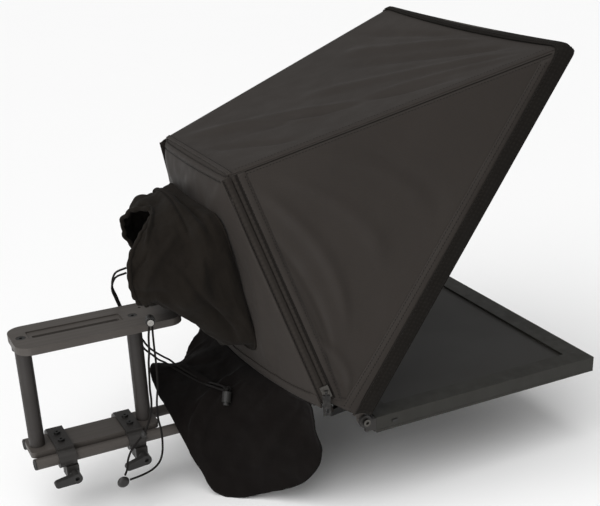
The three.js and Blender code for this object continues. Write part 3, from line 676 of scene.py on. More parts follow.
def small_stop():
    """The little dark cord stop a hand's breadth above the rods."""
    bm = bmesh.new()
    bmesh.ops.create_cone(bm, cap_ends=True, segments=24, radius1=STOP_RADIUS, radius2=STOP_RADIUS,
                          depth=STOP_LENGTH)
    rims = [e for e in bm.edges if len(e.link_faces) == 2 and e.calc_face_angle(0) > 0.8]
    bmesh.ops.bevel(bm, geom=rims, offset=0.0008, segments=3, affect="EDGES")
    mesh = mesh_of(bm, "long_cord_stop")
    mesh.transform(Matrix.Translation(STOP_CENTRE) @ Matrix.Rotation(math.radians(28), 4, "X"))
    return piece("long_cord_stop", mesh, "plastic")


def lock_nodes(place):
    """A cord lock's body and its button."""
    return [NODES[f"cord_lock_{place}"], NODES[f"cord_lock_{place}_button"]]


def make_cords():
    on_long_cords = [small_stop(), end_bead(), *lock_nodes("sleeve")]
    free_cord("long_cord_a", "drawcord_long_a", LONG_CORD_A)
    free_cord("long_cord_b", "drawcord_long_b", LONG_CORD_B)
    on_ties = [*lock_nodes("drape"), tie_knot()]
    free_cord("sleeve_tie_a", "tie_cord_a", TIE_CORD_A)
    free_cord("sleeve_tie_b", "tie_cord_b", TIE_CORD_B)


make_cords()


# ---------------------------------------------------------------- hard pieces

# Each finish: how far the edges are rounded, and the nodes that have it.
FINISHES = {
    "anodised": (0.0007, [
        "rod_near", "rod_far", "tripod_plate", "riser_base_plate", "riser_top_plate", "monitor_mount_plate",
        "glass_frame_near", "glass_frame_far", "glass_frame_bottom", "glass_frame_top",
    ]),
    # The riser posts take the darker copy of the anodising: painted shade, not a different finish.
    "anodised_painted_shade": (0.0005, ["riser_post_rear", "riser_post_front"]),
    "casting": (0.0009, [
        "tripod_clamp_block", "riser_clamp_rear", "riser_clamp_front", "monitor_clamp_rear",
        "monitor_clamp_front", "hinge_bracket_near", "hinge_bracket_far",
    ]),
    "black_steel": (0.0003, [
        "riser_base_screw_rear_near", "riser_base_screw_rear_far", "riser_base_screw_front_near",
        "riser_base_screw_front_far", "riser_top_screw_rear", "riser_top_screw_front",
        "zip_pull_near", "zip_pull_far",
    ]),
    "plastic": (0.0007, [
        "tripod_lever", "riser_lever_rear", "riser_lever_front", "monitor_lever_rear", "monitor_lever_front",
        "power_button", "cord_lock_sleeve", "cord_lock_drape", "cord_lock_drape_button",
    ]),
    "steel": (0.0003, ["cord_lock_sleeve_button"]),
    "dark_nickel": (0.0003, ["hinge_bolt_near", "hinge_bolt_far", "zip_slider_near", "zip_slider_far"]),
    "housing": (0.0012, ["monitor_back_cover", "monitor_bezel"]),
    "screen": (0.0004, ["lcd_panel"]),
    "board": (0.0002, ["driver_board"]),
    "glass": (0.0004, ["beamsplitter_glass"]),
}


def finish_nodes():
    """Each carried-over solid gets its material, rounded edges and smooth shading."""
    for finish, (edge_round, names) in FINISHES.items():
        for name in names:
            made = NODES[name]
            made.data.materials.clear()
            made.data.materials.append(MATERIALS[finish])
            bevel = made.modifiers.new("edges", "BEVEL")
            bevel.width = edge_round
            bevel.segments = 2
            bevel.limit_method = "ANGLE"
            bevel.angle_limit = math.radians(42)
            bevel.use_clamp_overlap = True
            made.data.set_sharp_from_angle(angle=math.radians(35))


finish_nodes()


def turned(name, profile, place, material, body, sides=28):
    """A turned piece: a profile of (radius, height) spun about its own Z, then placed by a matrix."""
    points = []
    for radius, height in profile:
        for side in range(sides):
            angle = 2 * math.pi * side / sides
            points.append(place @ Vector((radius * math.cos(angle), radius * math.sin(angle), height)))
    faces = grid_faces(sides, len(profile) - 1, closed=True)
    faces.append(tuple(reversed(range(sides))))
    faces.append(tuple(range((len(profile) - 1) * sides, len(profile) * sides)))
    mesh = mesh_from(name, points, faces)
    mesh.set_sharp_from_angle(angle=math.radians(40))
    return piece(name, mesh, material, body)


def facing(axis, centre):
    """A matrix that turns +Z to an axis and moves it to a centre."""
    turn = Vector((0, 0, 1)).rotation_difference(Vector(axis)).to_matrix().to_4x4()
    return Matrix.Translation(centre) @ turn


def screw_head(name, centre, axis, radius, body):
    """A socket screw's head with a rounded rim and a sunk hexagon."""
    shares = [(0.96, 0), (1, 0.25), (1, 0.7), (0.86, 1), (0.5, 1), (0.46, 0.9), (0.44, 0.35)]
    height = radius * 0.55
    profile = [(radius * across, height * up) for across, up in shares]
    turned(name, profile, facing(axis, centre), "black_steel", body, sides=24)


def corner_screws(name, xs, ys, z, radius):
    """Four screws of the monitor, with their heads down."""
    corners = [(x, y) for x in xs for y in ys]
    for index, (x, y) in enumerate(corners):
        screw_head(f"{name}_{index}", Vector((x, y, z)), (0, 0, -1), radius, "monitor_carriage")


def rod_caps():
    """Rubber end caps in the rods, with a shallow dish."""
    profile = [(0.0074, 0.0003), (0.0075, 0.0010), (0.0071, 0.0021), (0.0060, 0.0026), (0.0052, 0.0016),
               (0.0010, 0.0012)]
    for side in ("near", "far"):
        low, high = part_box(f"rod_{side}")
        middle = (low + high) / 2
        for end, y, direction in (("rear", high.y, 1), ("front", low.y, -1)):
            place = facing((0, direction, 0), Vector((middle.x, y, middle.z)))
            turned(f"rod_cap_{side}_{end}", profile, place, "plastic", "base")


# From the glass frame's own axes (across, behind the glass, up the glass) to the scene's.
FRAME = Matrix.Translation((0, HINGE_Y, HINGE_Z)) @ Matrix.Rotation(math.pi / 2 - GLASS_ANGLE, 4, "X")


def on_frame(x, behind, along):
    return FRAME @ Vector((x, behind, along))


VESA_PITCH, VESA_CENTRE_Y, COVER_SCREW_INSET = 0.100, -0.145, 0.012


def fixings():
    """Screws that hold the plates, the monitor and the glass frame together."""
    plate_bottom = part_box("monitor_mount_plate")[0].z
    mount_ys = (VESA_CENTRE_Y - VESA_PITCH / 2, VESA_CENTRE_Y + VESA_PITCH / 2)
    corner_screws("vesa_screw", (-VESA_PITCH / 2, VESA_PITCH / 2), mount_ys, plate_bottom - 0.0001, 0.004)
    low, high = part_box("monitor_back_cover")
    xs, ys = ((low[axis] + COVER_SCREW_INSET, high[axis] - COVER_SCREW_INSET) for axis in (0, 1))
    corner_screws("cover_screw", xs, ys, low.z + 0.0015, 0.0032)
    face_out = (FRAME.to_3x3() @ Vector((0, -1, 0))).normalized()
    for side, side_name in ((-1, "near"), (1, "far")):
        for place, along in (("low", 0.044), ("high", 0.524)):
            centre = on_frame(side * (HALF_WIDTH - 0.006), FRAME_FACE + 0.0004, along)
            screw_head(f"frame_screw_{place}_{side_name}", centre, face_out, 0.003, "glass_hood")
    block_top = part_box("tripod_clamp_block")[1].z
    for index, y in enumerate((-0.026, 0.026)):
        screw_head(f"block_screw_{index}", Vector((0, y, block_top)), (0, 0, 1), 0.0045, "base")


rod_caps()
fixings()


# ---------------------------------------------------------------- hood shell

# Pulls in a side panel: the first coordinate runs up the panel, the second from the band to the zip.
SIDE_FOLDS = [
    ((0.97, 0.98), (0.25, 0.55), 0.030, 0.0030), ((0.95, 0.90), (0.45, 0.35), 0.026, 0.0024),
    ((0.99, 0.80), (0.62, 0.22), 0.022, 0.0018), ((0.80, 0.99), (0.18, 0.72), 0.024, -0.0022),
    ((0.60, 0.97), (0.10, 0.80), 0.020, 0.0017), ((0.30, 0.95), (0.05, 0.35), 0.026, 0.0020),
    ((0.90, 0.60), (0.55, 0.10), 0.024, -0.0018), ((0.12, 0.90), (0.04, 0.20), 0.018, -0.0016),
]
# Pulls in the top: the first coordinate runs from near to far, the second from front to rear.
TOP_FOLDS = [
    ((0.05, 0.02), (0.62, 0.62), 0.030, 0.0026), ((0.12, 0.01), (0.72, 0.40), 0.026, -0.0024),
    ((0.30, 0.01), (0.86, 0.34), 0.028, 0.0030), ((0.02, 0.20), (0.50, 0.88), 0.028, -0.0022),
    ((0.10, 0.40), (0.78, 0.95), 0.030, 0.0024), ((0.45, 0.02), (0.95, 0.20), 0.022, -0.0022),
    ((0.20, 0.62), (0.90, 0.98), 0.024, 0.0020), ((0.05, 0.75), (0.55, 0.99), 0.022, -0.0018),
    ((0.03, 0.03), (0.30, 0.50), 0.020, 0.0018),
]
NEAR_FOLD_SCALE, FAR_FOLD_SCALE, TOP_FOLD_SCALE = 1.2, 0.8, 1.7
FRONT_SAG, MIDDLE_SAG, SIDE_BELLY = 0.007, 0.003, 0.004
# How many steps of the mesh it takes for the folds to rise: from a seam, a foot and a front or rear edge.
SEAM_HOLD, FOOT_HOLD, EDGE_HOLD = 12, 8, DEPTH_STEPS / 14
# Each hem: its rows of points and its rows of stitches, as distances from the edge.
FRONT_HEM = [0.0, 0.003, 0.011, 0.0205, 0.0215], (0.0115, 0.0195)
ZIP_HEM = [0.006, 0.008, 0.012, 0.0185, 0.0195], (0.0085, 0.0170)
TOP_HEM = [0.0, 0.001, 0.003, 0.004, 0.005], (0.0035,)
SHELL_CENTRE = np.array([0, -0.06, 0.25])
FAR_SEAM = SIDE_STEPS + TOP_STEPS
SHELL_LAST = SIDE_STEPS + TOP_STEPS + SIDE_STEPS


def shell_edges():
    """The hood's front and rear edges, from the near foot over the top to the far foot."""
    front_corners = [
        on_frame(-HALF_WIDTH - 0.0005, BAND_REAR - 0.001, SHELL_FOOT),
        on_frame(-HALF_WIDTH - 0.0005, BAND_REAR - 0.002, 0.529),
        on_frame(HALF_WIDTH - 0.004, BAND_REAR - 0.002, 0.531),
        on_frame(HALF_WIDTH + 0.0005, BAND_REAR - 0.001, SHELL_FOOT),
    ]
    to_near = Vector((-1, 1, 1))
    rear_corners = [BACK_BOTTOM * to_near, BACK_TOP * to_near, BACK_TOP, BACK_BOTTOM]
    edges = []
    for corners in (front_corners, rear_corners):
        line = []
        for (a, b), count in zip(zip(corners, corners[1:]), (SIDE_STEPS, TOP_STEPS, SIDE_STEPS)):
            line += [a.lerp(b, step / count) for step in range(count)]
        line.append(corners[-1])
        edges.append(np.array(line))
    return edges


def shell_points():
    """The two sides and the top as one creased sheet, with its outward normals."""
    front, rear = shell_edges()
    v = np.linspace(0, 1, DEPTH_STEPS + 1)[:, None, None]
    points = soften(front[None] * (1 - v) + rear[None] * v, 5)
    normals = turned_out(normals_of(points), points - SHELL_CENTRE)
    across, depth = unit_grid(DEPTH_STEPS, SHELL_LAST)
    across = np.round(across * SHELL_LAST)
    near_u = across / SIDE_STEPS
    top_u = (across - SIDE_STEPS) / TOP_STEPS
    far_u = (SHELL_LAST - across) / SIDE_STEPS
    on_near, on_far = near_u <= 1, far_u <= 1
    on_top = (top_u > 0) & (top_u < 1)
    lift = np.where(on_near, folded(near_u, depth, SIDE_FOLDS) * NEAR_FOLD_SCALE, 0)
    lift += np.where(on_far, folded(far_u, depth, SIDE_FOLDS) * FAR_FOLD_SCALE, 0)
    lift += np.where(on_top, folded(top_u, depth, TOP_FOLDS) * TOP_FOLD_SCALE, 0)
    lift += cloth_noise(points, 7, 0.0013, 3.0) + cloth_noise(points, 22, 0.0003, 11.0)
    # The cloth is held at its edges and along the two upper seams.
    to_seam = np.minimum(np.abs(near_u - 1), np.abs(far_u - 1)) * SIDE_STEPS
    to_foot = np.minimum(across, SHELL_LAST - across)
    to_edge = np.minimum(depth, 1 - depth) * DEPTH_STEPS
    hold = np.clip(to_seam / SEAM_HOLD, 0, 1) * np.clip(to_foot / FOOT_HOLD, 0, 1)
    hold *= np.clip(to_edge / EDGE_HOLD, 0, 1)
    points = points + normals * (lift * hold)[..., None]
    # The top sags between the seams, most at the front where nothing spans it.
    arch = np.where(on_top, np.clip(4 * top_u * (1 - top_u), 0, 1), 0)
    sag = FRONT_SAG * (1 - depth) ** 2 + MIDDLE_SAG * np.clip(depth * (1 - depth) * 4, 0, 1)
    points[..., 2] -= arch ** 0.8 * sag
    # The sides belly in a little under the pull of the corners.
    belly = np.where(on_near, 1, np.where(on_far, -1, 0)) * SIDE_BELLY
    between = np.sin(np.pi * np.clip(np.where(on_near, near_u, far_u), 0, 1)) * np.sin(np.pi * depth)
    points[..., 0] += belly * between
    return points, normals


SHELL, SHELL_OUT = shell_points()


def make_shell():
    made = cloth("hood_shell", SHELL, "nylon", PANEL_CLOTH)
    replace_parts(made, "hood_side_near", "hood_side_far", "hood_top")


def shell_inset(index, distances, rear):
    """Points on one column of the shell at set distances from its front or rear edge, and their normals."""
    column, out = SHELL[:, index], SHELL_OUT[:, index]
    if rear:
        column, out = column[::-1], out[::-1]
    travelled = np.concatenate([[0], np.cumsum(np.linalg.norm(np.diff(column, axis=0), axis=1))])
    return [np.stack([np.interp(distances, travelled, values[:, axis]) for axis in range(3)], axis=-1)
            for values in (column, out)]


def hem(name, columns, distances, seams, rear=False):
    """A doubled hem of constant width along the shell's front or rear edge, with its rows of stitches."""
    lift = np.array([0.0004] + [0.0014] * (len(distances) - 2) + [0.0004])[:, None]
    insets = [shell_inset(index, distances, rear) for index in columns]
    cloth(name, np.stack([place + out * lift for place, out in insets], axis=1), "nylon", HEM_CLOTH)
    for number, distance in enumerate(seams):
        found = [shell_inset(index, [distance], rear) for index in columns[1:-1]]
        places, normals = ([pair[which][0] for pair in found] for which in (0, 1))
        stitches(f"{name}_stitch_{number}", places, normals, 0.0019)


def seam_trim(name, index, below):
    """An upper seam's piping, a thin dark tube below it that paints the seam's shadow line, and a row of
    stitches on each side.
    """
    inner = slice(2, DEPTH_STEPS - 1)
    piping = raised(SHELL[:, index], SHELL_OUT[:, index], 0.0004)
    tube(f"seam_piping_{name}", piping, 0.0011, "nylon")
    # Painted shadow: a thin dark tube along the groove just below the seam.
    edge = raised(SHELL[inner, index + below], SHELL_OUT[inner, index + below], 0.0006)
    tube(f"seam_painted_shadow_{name}", edge, 0.0007, "webbing")
    for shift, tag in ((-2, "low"), (2, "high")):
        column = index + shift
        stitches(f"seam_stitch_{name}_{tag}", SHELL[inner, column], SHELL_OUT[inner, column], 0.0004)


def hood_trim():
    """Trim of the upper seams, and doubled hems along the band, the zips and the foot."""
    seam_trim("near", SIDE_STEPS, -1)
    seam_trim("far", FAR_SEAM, 1)
    hem("front_hem_near", range(0, SIDE_STEPS - 1), *FRONT_HEM)
    hem("front_hem_far", range(FAR_SEAM + 1, SHELL_LAST + 1), *FRONT_HEM)
    hem("rear_hem_near", range(2, SIDE_STEPS), *ZIP_HEM, rear=True)
    hem("rear_hem_far", range(FAR_SEAM + 1, SHELL_LAST - 1), *ZIP_HEM, rear=True)
    hem("rear_hem_top", range(SIDE_STEPS, FAR_SEAM + 1), *TOP_HEM, rear=True)
    for name, columns in (("near", slice(0, 4)), ("far", slice(-4, None))):
        patch = SHELL[2:-1, columns] + SHELL_OUT[2:-1, columns] * HEM_LIFT
        cloth(f"foot_hem_{name}", patch, "nylon", HEM_CLOTH)


make_shell()
hood_trim()


# ---------------------------------------------------------------- band round the glass frame

BAND_CENTRE = np.array([0, -0.20, 0.28])


def band_front():
    """The band's outer edge, from the near foot over the top to the far foot, in the frame's own axes."""
    outside = HALF_WIDTH + 0.0022
    top = FRAME_LENGTH + 0.003
    up_side = [BAND_FOOT + step / SIDE_STEPS * (top - BAND_FOOT) for step in range(SIDE_STEPS + 1)]
    near = [Vector((-outside, FRAME_FACE - 0.003, along)) for along in up_side]
    far = [Vector((outside, FRAME_FACE - 0.003, along)) for along in reversed(up_side)]
    over = []
    for step in range(1, TOP_STEPS):
        t = step / TOP_STEPS
        along = top + 0.0005 - 0.0020 * math.sin(math.pi * t)
        over.append(Vector((outside * (2 * t - 1), FRAME_FACE - 0.001, along)))
    return near + over + far


def band_points():
    """The hook-and-loop band: a strip that wraps the frame's edge all the way round the hood's front."""
    to_frame = FRAME.inverted()
    rear = [to_frame @ point for point in raised(SHELL[1], SHELL_OUT[1], 0.0022)]
    rows = []
    for step in range(BAND_ROWS + 1):
        v = step / BAND_ROWS
        # Level over the frame's rail first, then down to the shell behind it.
        shares = Vector((v ** 4, v, v ** 4))
        rows.append([FRAME @ (start + (end - start) * shares) for start, end in zip(band_front(), rear)])
    points = soften(np.array(rows), 1)
    v = np.linspace(0, 1, BAND_ROWS + 1)[:, None, None]
    out = turned_out(normals_of(points), points - BAND_CENTRE)
    return points + out * np.sin(np.pi * v) * 0.0012, out


def make_band():
    points, out = band_points()
    made = cloth("front_band", points, "webbing", 0.0016)
    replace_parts(made, "hood_front_band")
    for row, tag in ((1, "front"), (BAND_ROWS - 1, "rear")):
        stitches(f"band_stitch_{tag}", points[row, 2:-2], out[row, 2:-2], 0.001)
    tube("band_edge", vectors(points[0]), 0.0013, "webbing")


make_band()


# ---------------------------------------------------------------- back panel

# The first coordinate runs from near to far, the second downwards.
BACK_FOLDS = [
    ((0.04, 0.03), (0.30, 0.24), 0.03, 0.0022), ((0.96, 0.03), (0.70, 0.24), 0.03, 0.0022),
    ((0.03, 0.30), (0.22, 0.95), 0.03, 0.0022), ((0.97, 0.30), (0.78, 0.95), 0.03, 0.0022),
    ((0.35, 0.04), (0.62, 0.10), 0.02, -0.0016), ((0.06, 0.60), (0.20, 0.99), 0.02, -0.0016),
]
SLEEVE_SEAM = 0.012


def back_down(z):
    """How far down the back panel a height is, from 0 at the upper corners to 1 at the lower ones."""
    return (BACK_TOP.z - z) / (BACK_TOP.z - BACK_BOTTOM.z)


def back_half(z):
    """Half the back panel's width at a height."""
    return BACK_TOP.x + back_down(z) * (BACK_BOTTOM.x - BACK_TOP.x)


def back_y(x, z):
    """How far towards the operator the back panel lies, at a height and a place across."""
    down = back_down(z)
    plane = BACK_TOP.y + BACK_LIFT + down * (BACK_BOTTOM.y - BACK_TOP.y)
    across = max(0.0, 1 - (x / back_half(z)) ** 2)
    return plane + BACK_BULGE * math.sqrt(max(0.0, down)) * across


def back_points():
    """The back panel from its folded upper edge to its lower hem."""
    points = np.empty((BACK_ROWS + 1, BACK_COLUMNS + 1, 3))
    for row in range(BACK_ROWS + 1):
        v = row / BACK_ROWS
        z = BACK_START - v * BACK_FALL
        half = back_half(z) - 0.002 + 0.001 * math.exp(-v * 20)
        for column in range(BACK_COLUMNS + 1):
            x = half * (2 * column / BACK_COLUMNS - 1)
            edge = math.exp(-min(column, BACK_COLUMNS - column) / 2.5)
            y = back_y(x, z) - BACK_LIFT * math.exp(-v * 16) - 0.003 * edge
            points[row, column] = (x, y, z)
    u, v = unit_grid(BACK_ROWS, BACK_COLUMNS)
    lift = cloth_noise(points, 12, 0.0022, 5.0) + cloth_noise(points, 34, 0.0007, 8.0)
    lift = lift + folded(u, v, BACK_FOLDS)
    hold = np.clip(np.minimum(u, 1 - u) * 14, 0, 1) * np.clip(v * 12, 0, 1) * np.clip((1 - v) * 12, 0, 1)
    points[..., 1] += lift * hold
    return points


BACK = back_points()
BACK_OUT = turned_out(normals_of(BACK), np.array([0, 1, 0]))


def outside_sleeve(centre):
    """Whether a face of the back panel stays, outside the opening into the sleeve."""
    inside_x = abs(centre[0]) < SLEEVE_HALF - SLEEVE_SEAM
    inside_z = SLEEVE_LOW + SLEEVE_SEAM < centre[2] < SLEEVE_HIGH - SLEEVE_SEAM
    return not (inside_x and inside_z)


def make_back():
    made = cloth("hood_back_panel", BACK, "nylon", PANEL_CLOTH, keep=outside_sleeve)
    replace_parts(made, "hood_back")
    for first, last, name in ((1, 3, "back_upper_fold"), (BACK_ROWS - 4, BACK_ROWS, "back_lower_hem")):
        patch = BACK[first:last + 1] + BACK_OUT[first:last + 1] * HEM_LIFT
        cloth(name, patch, "nylon", 0.001)
        for row in (first, last):
            stitches(f"{name}_stitch_{row}", BACK[row, 2:-2], BACK_OUT[row, 2:-2], 0.0021)
    tube("rear_top_piping", vectors(SHELL[-1, SIDE_STEPS:FAR_SEAM + 1]), 0.0018, "nylon")


make_back()


# ---------------------------------------------------------------- zips

# Across each strip: places measured towards the back panel, and the lift off the corner's face.
TAPE_PROFILE = [(-0.0070, 0.0006), (-0.0045, 0.0018), (-0.0018, 0.0023), (-0.0013, 0.0006),
                (0.0003, 0.0006), (0.0008, 0.0023), (0.0050, 0.0018), (0.0105, 0.0004)]
TAPE_END_PROFILE = [(-0.0005, 0.0006), (0.0005, 0.0012), (0.0045, 0.0012), (0.0055, 0.0006)]
COIL_PITCH, COIL_SHIFT = 0.0013, 0.0007
COIL_SIZE = (0.0016, 0.0009, 0.0009, 1)


def zip_basis(side):
    """Origin, across, outward and up directions of the zip on one rear corner, and its length."""
    to_side = Vector((side, 1, 1))
    bottom, top = BACK_BOTTOM * to_side, BACK_TOP * to_side
    up = (top - bottom).normalized()
    forward = on_frame(side * HALF_WIDTH, BAND_REAR, 0.515) - bottom
    out = up.cross(forward).normalized()
    if out.x * side < 0:
        out = -out
    across = out.cross(up)
    rearward = -math.copysign(1, forward.dot(across))
    return bottom, across * rearward, out, up, (top - bottom).length


def zip_line(side, across_by, lift, low, high, steps):
    """Points along the zip between two heights on it, at one place across it."""
    bottom, across, out, up, _ = zip_basis(side)
    start = bottom + across * across_by + out * lift
    return [start + up * (low + (high - low) * step / steps) for step in range(steps + 1)]


def zip_strip(name, side, profile, low, high):
    """A long strip of tape beside the zip."""
    lines = [np.array(zip_line(side, across_by, lift, low, high, 80)) for across_by, lift in profile]
    return cloth(name, np.stack(lines, axis=1), "tape", HEM_CLOTH)


def coil_teeth(name, side, low, high):
    """The zip's coil: two interleaved rows of small moulded loops."""
    bottom, across, out, up, _ = zip_basis(side)
    turn = Matrix((across, up, out)).transposed().to_4x4()
    bm = bmesh.new()
    for index in range(int((high - low) / COIL_PITCH)):
        shift = COIL_SHIFT if index % 2 else -COIL_SHIFT
        centre = bottom + across * (shift - 0.0005) + out * 0.0012 + up * (low + index * COIL_PITCH)
        place = Matrix.Translation(centre) @ turn @ Matrix.Diagonal(COIL_SIZE)
        bmesh.ops.create_cube(bm, size=1, matrix=place)
    bmesh.ops.bevel(bm, geom=list(bm.edges), offset=0.0002, segments=1, affect="EDGES")
    piece(name, mesh_of(bm, name), "webbing", smooth=False)


def make_gusset(name, side, low, high):
    """The gusset that closes the gap between the zip's rear tape and the back panel."""
    rows, columns = 60, 6
    edge = BACK[:, 0 if side < 0 else BACK_COLUMNS]
    points = np.empty((rows + 1, columns + 1, 3))
    for row, start in enumerate(zip_line(side, 0.0108, 0.0003, low, high, rows)):
        index = round((BACK_START - start.z) / BACK_FALL * BACK_ROWS)
        end = Vector(edge[min(BACK_ROWS, max(0, index))])
        for column in range(columns + 1):
            points[row, column] = start.lerp(end, column / columns)
    cloth(f"gusset_{name}", points, "nylon", 0.0012)


def make_zip(name, side):
    out, length = zip_basis(side)[2], zip_basis(side)[4]
    low, high = 0.004, length - 0.004
    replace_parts(zip_strip(f"zip_tape_{name}_cloth", side, TAPE_PROFILE, low, high), f"zip_tape_{name}")
    zip_strip(f"zip_tape_end_{name}", side, TAPE_END_PROFILE, -0.012, 0.006)
    coil_teeth(f"zip_coil_{name}", side, 0.007, length - 0.008)
    for tag, across_by in (("front", -0.0052), ("rear", 0.0046), ("edge", 0.0094)):
        line = zip_line(side, across_by, 0, low, high, 60)
        stitches(f"zip_stitch_{name}_{tag}", line, [out] * len(line), 0.0017)
    for tag, across_by, material in (("front", -0.0078, "webbing"), ("rear", 0.0112, "nylon")):
        line = zip_line(side, across_by, 0.0008, low, high, 40)
        tube(f"zip_piping_{name}_{tag}", line, 0.0012, material)
    make_gusset(name, side, low, high)


make_zip("near", -1)
make_zip("far", 1)


# ---------------------------------------------------------------- camera sleeve

SLEEVE_STATIONS = [
    # centre, half-sizes across and up, lean back in degrees
    ((0.000, 0.066, 0.236), (0.098, 0.102), 15.7),
    ((-0.001, 0.078, 0.239), (0.102, 0.100), 15.0),
    ((-0.003, 0.096, 0.246), (0.099, 0.093), 13.0),
    ((-0.008, 0.122, 0.264), (0.090, 0.071), 9.0),
    ((-0.015, 0.152, 0.268), (0.074, 0.063), 4.0),
    ((-0.018, 0.166, 0.268), (0.064, 0.058), 2.0),
    ((-0.020, 0.176, 0.268), (0.056, 0.055), 0.0),
]
MOUTH_TURN, MOUTH_TOP_FORWARD, MOUTH_TOP_RAISE = 0.35, 0.034, 0.004
MOUTH_FAR_CORNER, MOUTH_CORNER_RAISE, MOUTH_FOOT = 0.014, 0.010, 0.018
SLEEVE_CENTRE = np.array([-0.01, 0.12, 0.25])
# The first coordinate runs round the sleeve from its far side over the top, the second out to its mouth.
SLEEVE_FOLDS = [
    ((0.08, 0.22), (0.46, 0.17), 0.030, -0.0060), ((0.10, 0.42), (0.44, 0.36), 0.022, -0.0040),
    ((0.36, 0.46), (0.56, 0.90), 0.020, 0.0045), ((0.44, 0.30), (0.60, 0.62), 0.026, 0.0055),
    ((0.48, 0.55), (0.64, 0.20), 0.022, -0.0045), ((0.55, 0.75), (0.70, 0.35), 0.022, 0.0055),
    ((0.62, 0.90), (0.74, 0.50), 0.018, -0.0040), ((0.66, 0.30), (0.92, 0.22), 0.026, 0.0060),
    ((0.20, 0.62), (0.40, 0.80), 0.020, 0.0040), ((0.02, 0.70), (0.18, 0.50), 0.022, 0.0045),
    ((0.78, 0.60), (0.96, 0.42), 0.022, 0.0045), ((0.52, 0.12), (0.58, 0.48), 0.018, -0.0035),
    ((0.42, 0.70), (0.50, 0.98), 0.014, -0.0030), ((0.57, 0.60), (0.61, 0.97), 0.014, 0.0040),
]


def station_at(t):
    """Smoothly blended sleeve station at t from 0, the seam, to 1, the mouth."""
    rows = np.array([[*centre, *size, lean] for centre, size, lean in SLEEVE_STATIONS])
    where = t * (len(rows) - 1)
    index = min(int(where), len(rows) - 2)
    before, after = rows[max(index - 1, 0)], rows[min(index + 2, len(rows) - 1)]
    return spline_point(before, rows[index], rows[index + 1], after, where - index)


def sleeve_point(u, t):
    """A point of the smooth sleeve, u of the way round it and t of the way out to its mouth."""
    cx, cy, cz, sx, sz, lean = station_at(t)
    angle = 2 * math.pi * u
    # Nearly a rectangle at the seam, and an ellipse towards the mouth.
    power = 0.24 + 0.76 * min(1, t * 1.6)
    c, s = math.cos(angle), math.sin(angle)
    x = sx * math.copysign(abs(c) ** power, c)
    up = sz * math.copysign(abs(s) ** power, s)
    tilt = math.radians(lean)
    point = Vector((cx + x, cy + up * math.sin(tilt), cz + up * math.cos(tilt)))
    peak = max(0.0, s) ** 3
    corner = max(0.0, c) * max(0.0, s) * 2
    foot = max(0.0, -s) ** 2
    lean_out = MOUTH_FAR_CORNER * corner - MOUTH_TURN * x - MOUTH_TOP_FORWARD * peak - MOUTH_FOOT * foot
    point.y += t * t * lean_out
    point.z += t * t * (MOUTH_TOP_RAISE * peak + MOUTH_CORNER_RAISE * corner)
    # Its first quarter leaves the back panel's own surface.
    seam_y = back_y(point.x, point.z) + 0.003
    blend = max(0.0, 1 - t * 4) ** 1.5
    point.y = point.y * (1 - blend) + seam_y * blend
    return point


def sleeve_points():
    points = np.empty((SLEEVE_ALONG + 1, SLEEVE_AROUND, 3))
    for row in range(SLEEVE_ALONG + 1):
        for column in range(SLEEVE_AROUND):
            points[row, column] = sleeve_point(column / SLEEVE_AROUND, row / SLEEVE_ALONG)
    out = turned_out(normals_of(points, closed=True), points - SLEEVE_CENTRE)
    angle = np.linspace(0, 2 * math.pi, SLEEVE_AROUND, endpoint=False)[None, :]
    t = np.linspace(0, 1, SLEEVE_ALONG + 1)[:, None]
    # Gathers tighten towards the mouth; broad slack folds run round the sleeve near its seam.
    gathers = (np.sin(17 * angle + 1.2 * np.sin(2 * angle) + 3 * t) * 0.55
               + np.sin(29 * angle + 2.0 * np.sin(3 * angle)) * 0.45)
    lift = gathers * 0.0015 * np.clip((t - 0.45) / 0.55, 0, 1) ** 1.3
    lift = lift + 0.0045 * np.sin(2.2 * angle + 9 * t + 1.1) * np.sin(np.pi * np.clip(t * 1.15, 0, 1))
    lift = lift + 0.0028 * np.sin(4 * angle - 14 * t + 0.6) * np.sin(np.pi * np.clip(t * 1.2, 0, 1)) ** 2
    u = angle / (2 * math.pi) + 0 * t
    v = t + 0 * angle
    lift = lift + folded(u, v, SLEEVE_FOLDS)
    lift = lift + cloth_noise(points, 16, 0.0034, 2.0) + cloth_noise(points, 45, 0.0016, 6.0)
    hold = np.clip(t * 9, 0, 1)
    points = points + out * (lift * hold)[..., None]
    # The slack hangs down at the near bottom, outside the camera plate.
    slack = np.exp(-((u - 0.64) / 0.05) ** 2) * np.exp(-((v - 0.42) / 0.22) ** 2)
    points[..., 2] -= 0.009 * slack
    return points


def ring_tube(name, ring, radius_of, sides):
    """A soft roll of cloth along a closed ring of points; radius_of gives its radius at each share of it."""
    count = len(ring)
    centre = sum(ring, Vector()) / count
    points = []
    faces = []
    for index in range(count):
        after = (index + 1) % count
        ahead = (ring[after] - ring[index - 1]).normalized()
        beside = ahead.cross((ring[index] - centre).normalized()).normalized()
        away = beside.cross(ahead).normalized()
        radius = radius_of(index / count)
        for side in range(sides):
            angle = 2 * math.pi * side / sides
            points.append(ring[index] + (away * math.cos(angle) + beside * math.sin(angle)) * radius)
            next_side = (side + 1) % sides
            faces.append((index * sides + side, after * sides + side,
                          after * sides + next_side, index * sides + next_side))
    return piece(name, mesh_from(name, points, faces), "sleeve")


def make_sleeve():
    points = sleeve_points()
    made = cloth("sleeve_cloth", points, "sleeve", 0.0016, closed=True)
    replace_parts(made, "camera_sleeve")
    subdivide = made.modifiers.new("smooth", "SUBSURF")
    subdivide.levels = 1
    subdivide.render_levels = 1
    channel = ring_tube("sleeve_channel", vectors(points[-1]),
                        lambda t: 0.0030 + 0.0004 * math.sin(50 * math.pi * t), sides=14)
    binding = ring_tube("sleeve_binding", vectors(points[1]),
                        lambda t: 0.0016 + 0.0002 * math.sin(t * 160), sides=8)


make_sleeve()


# ---------------------------------------------------------------- drape

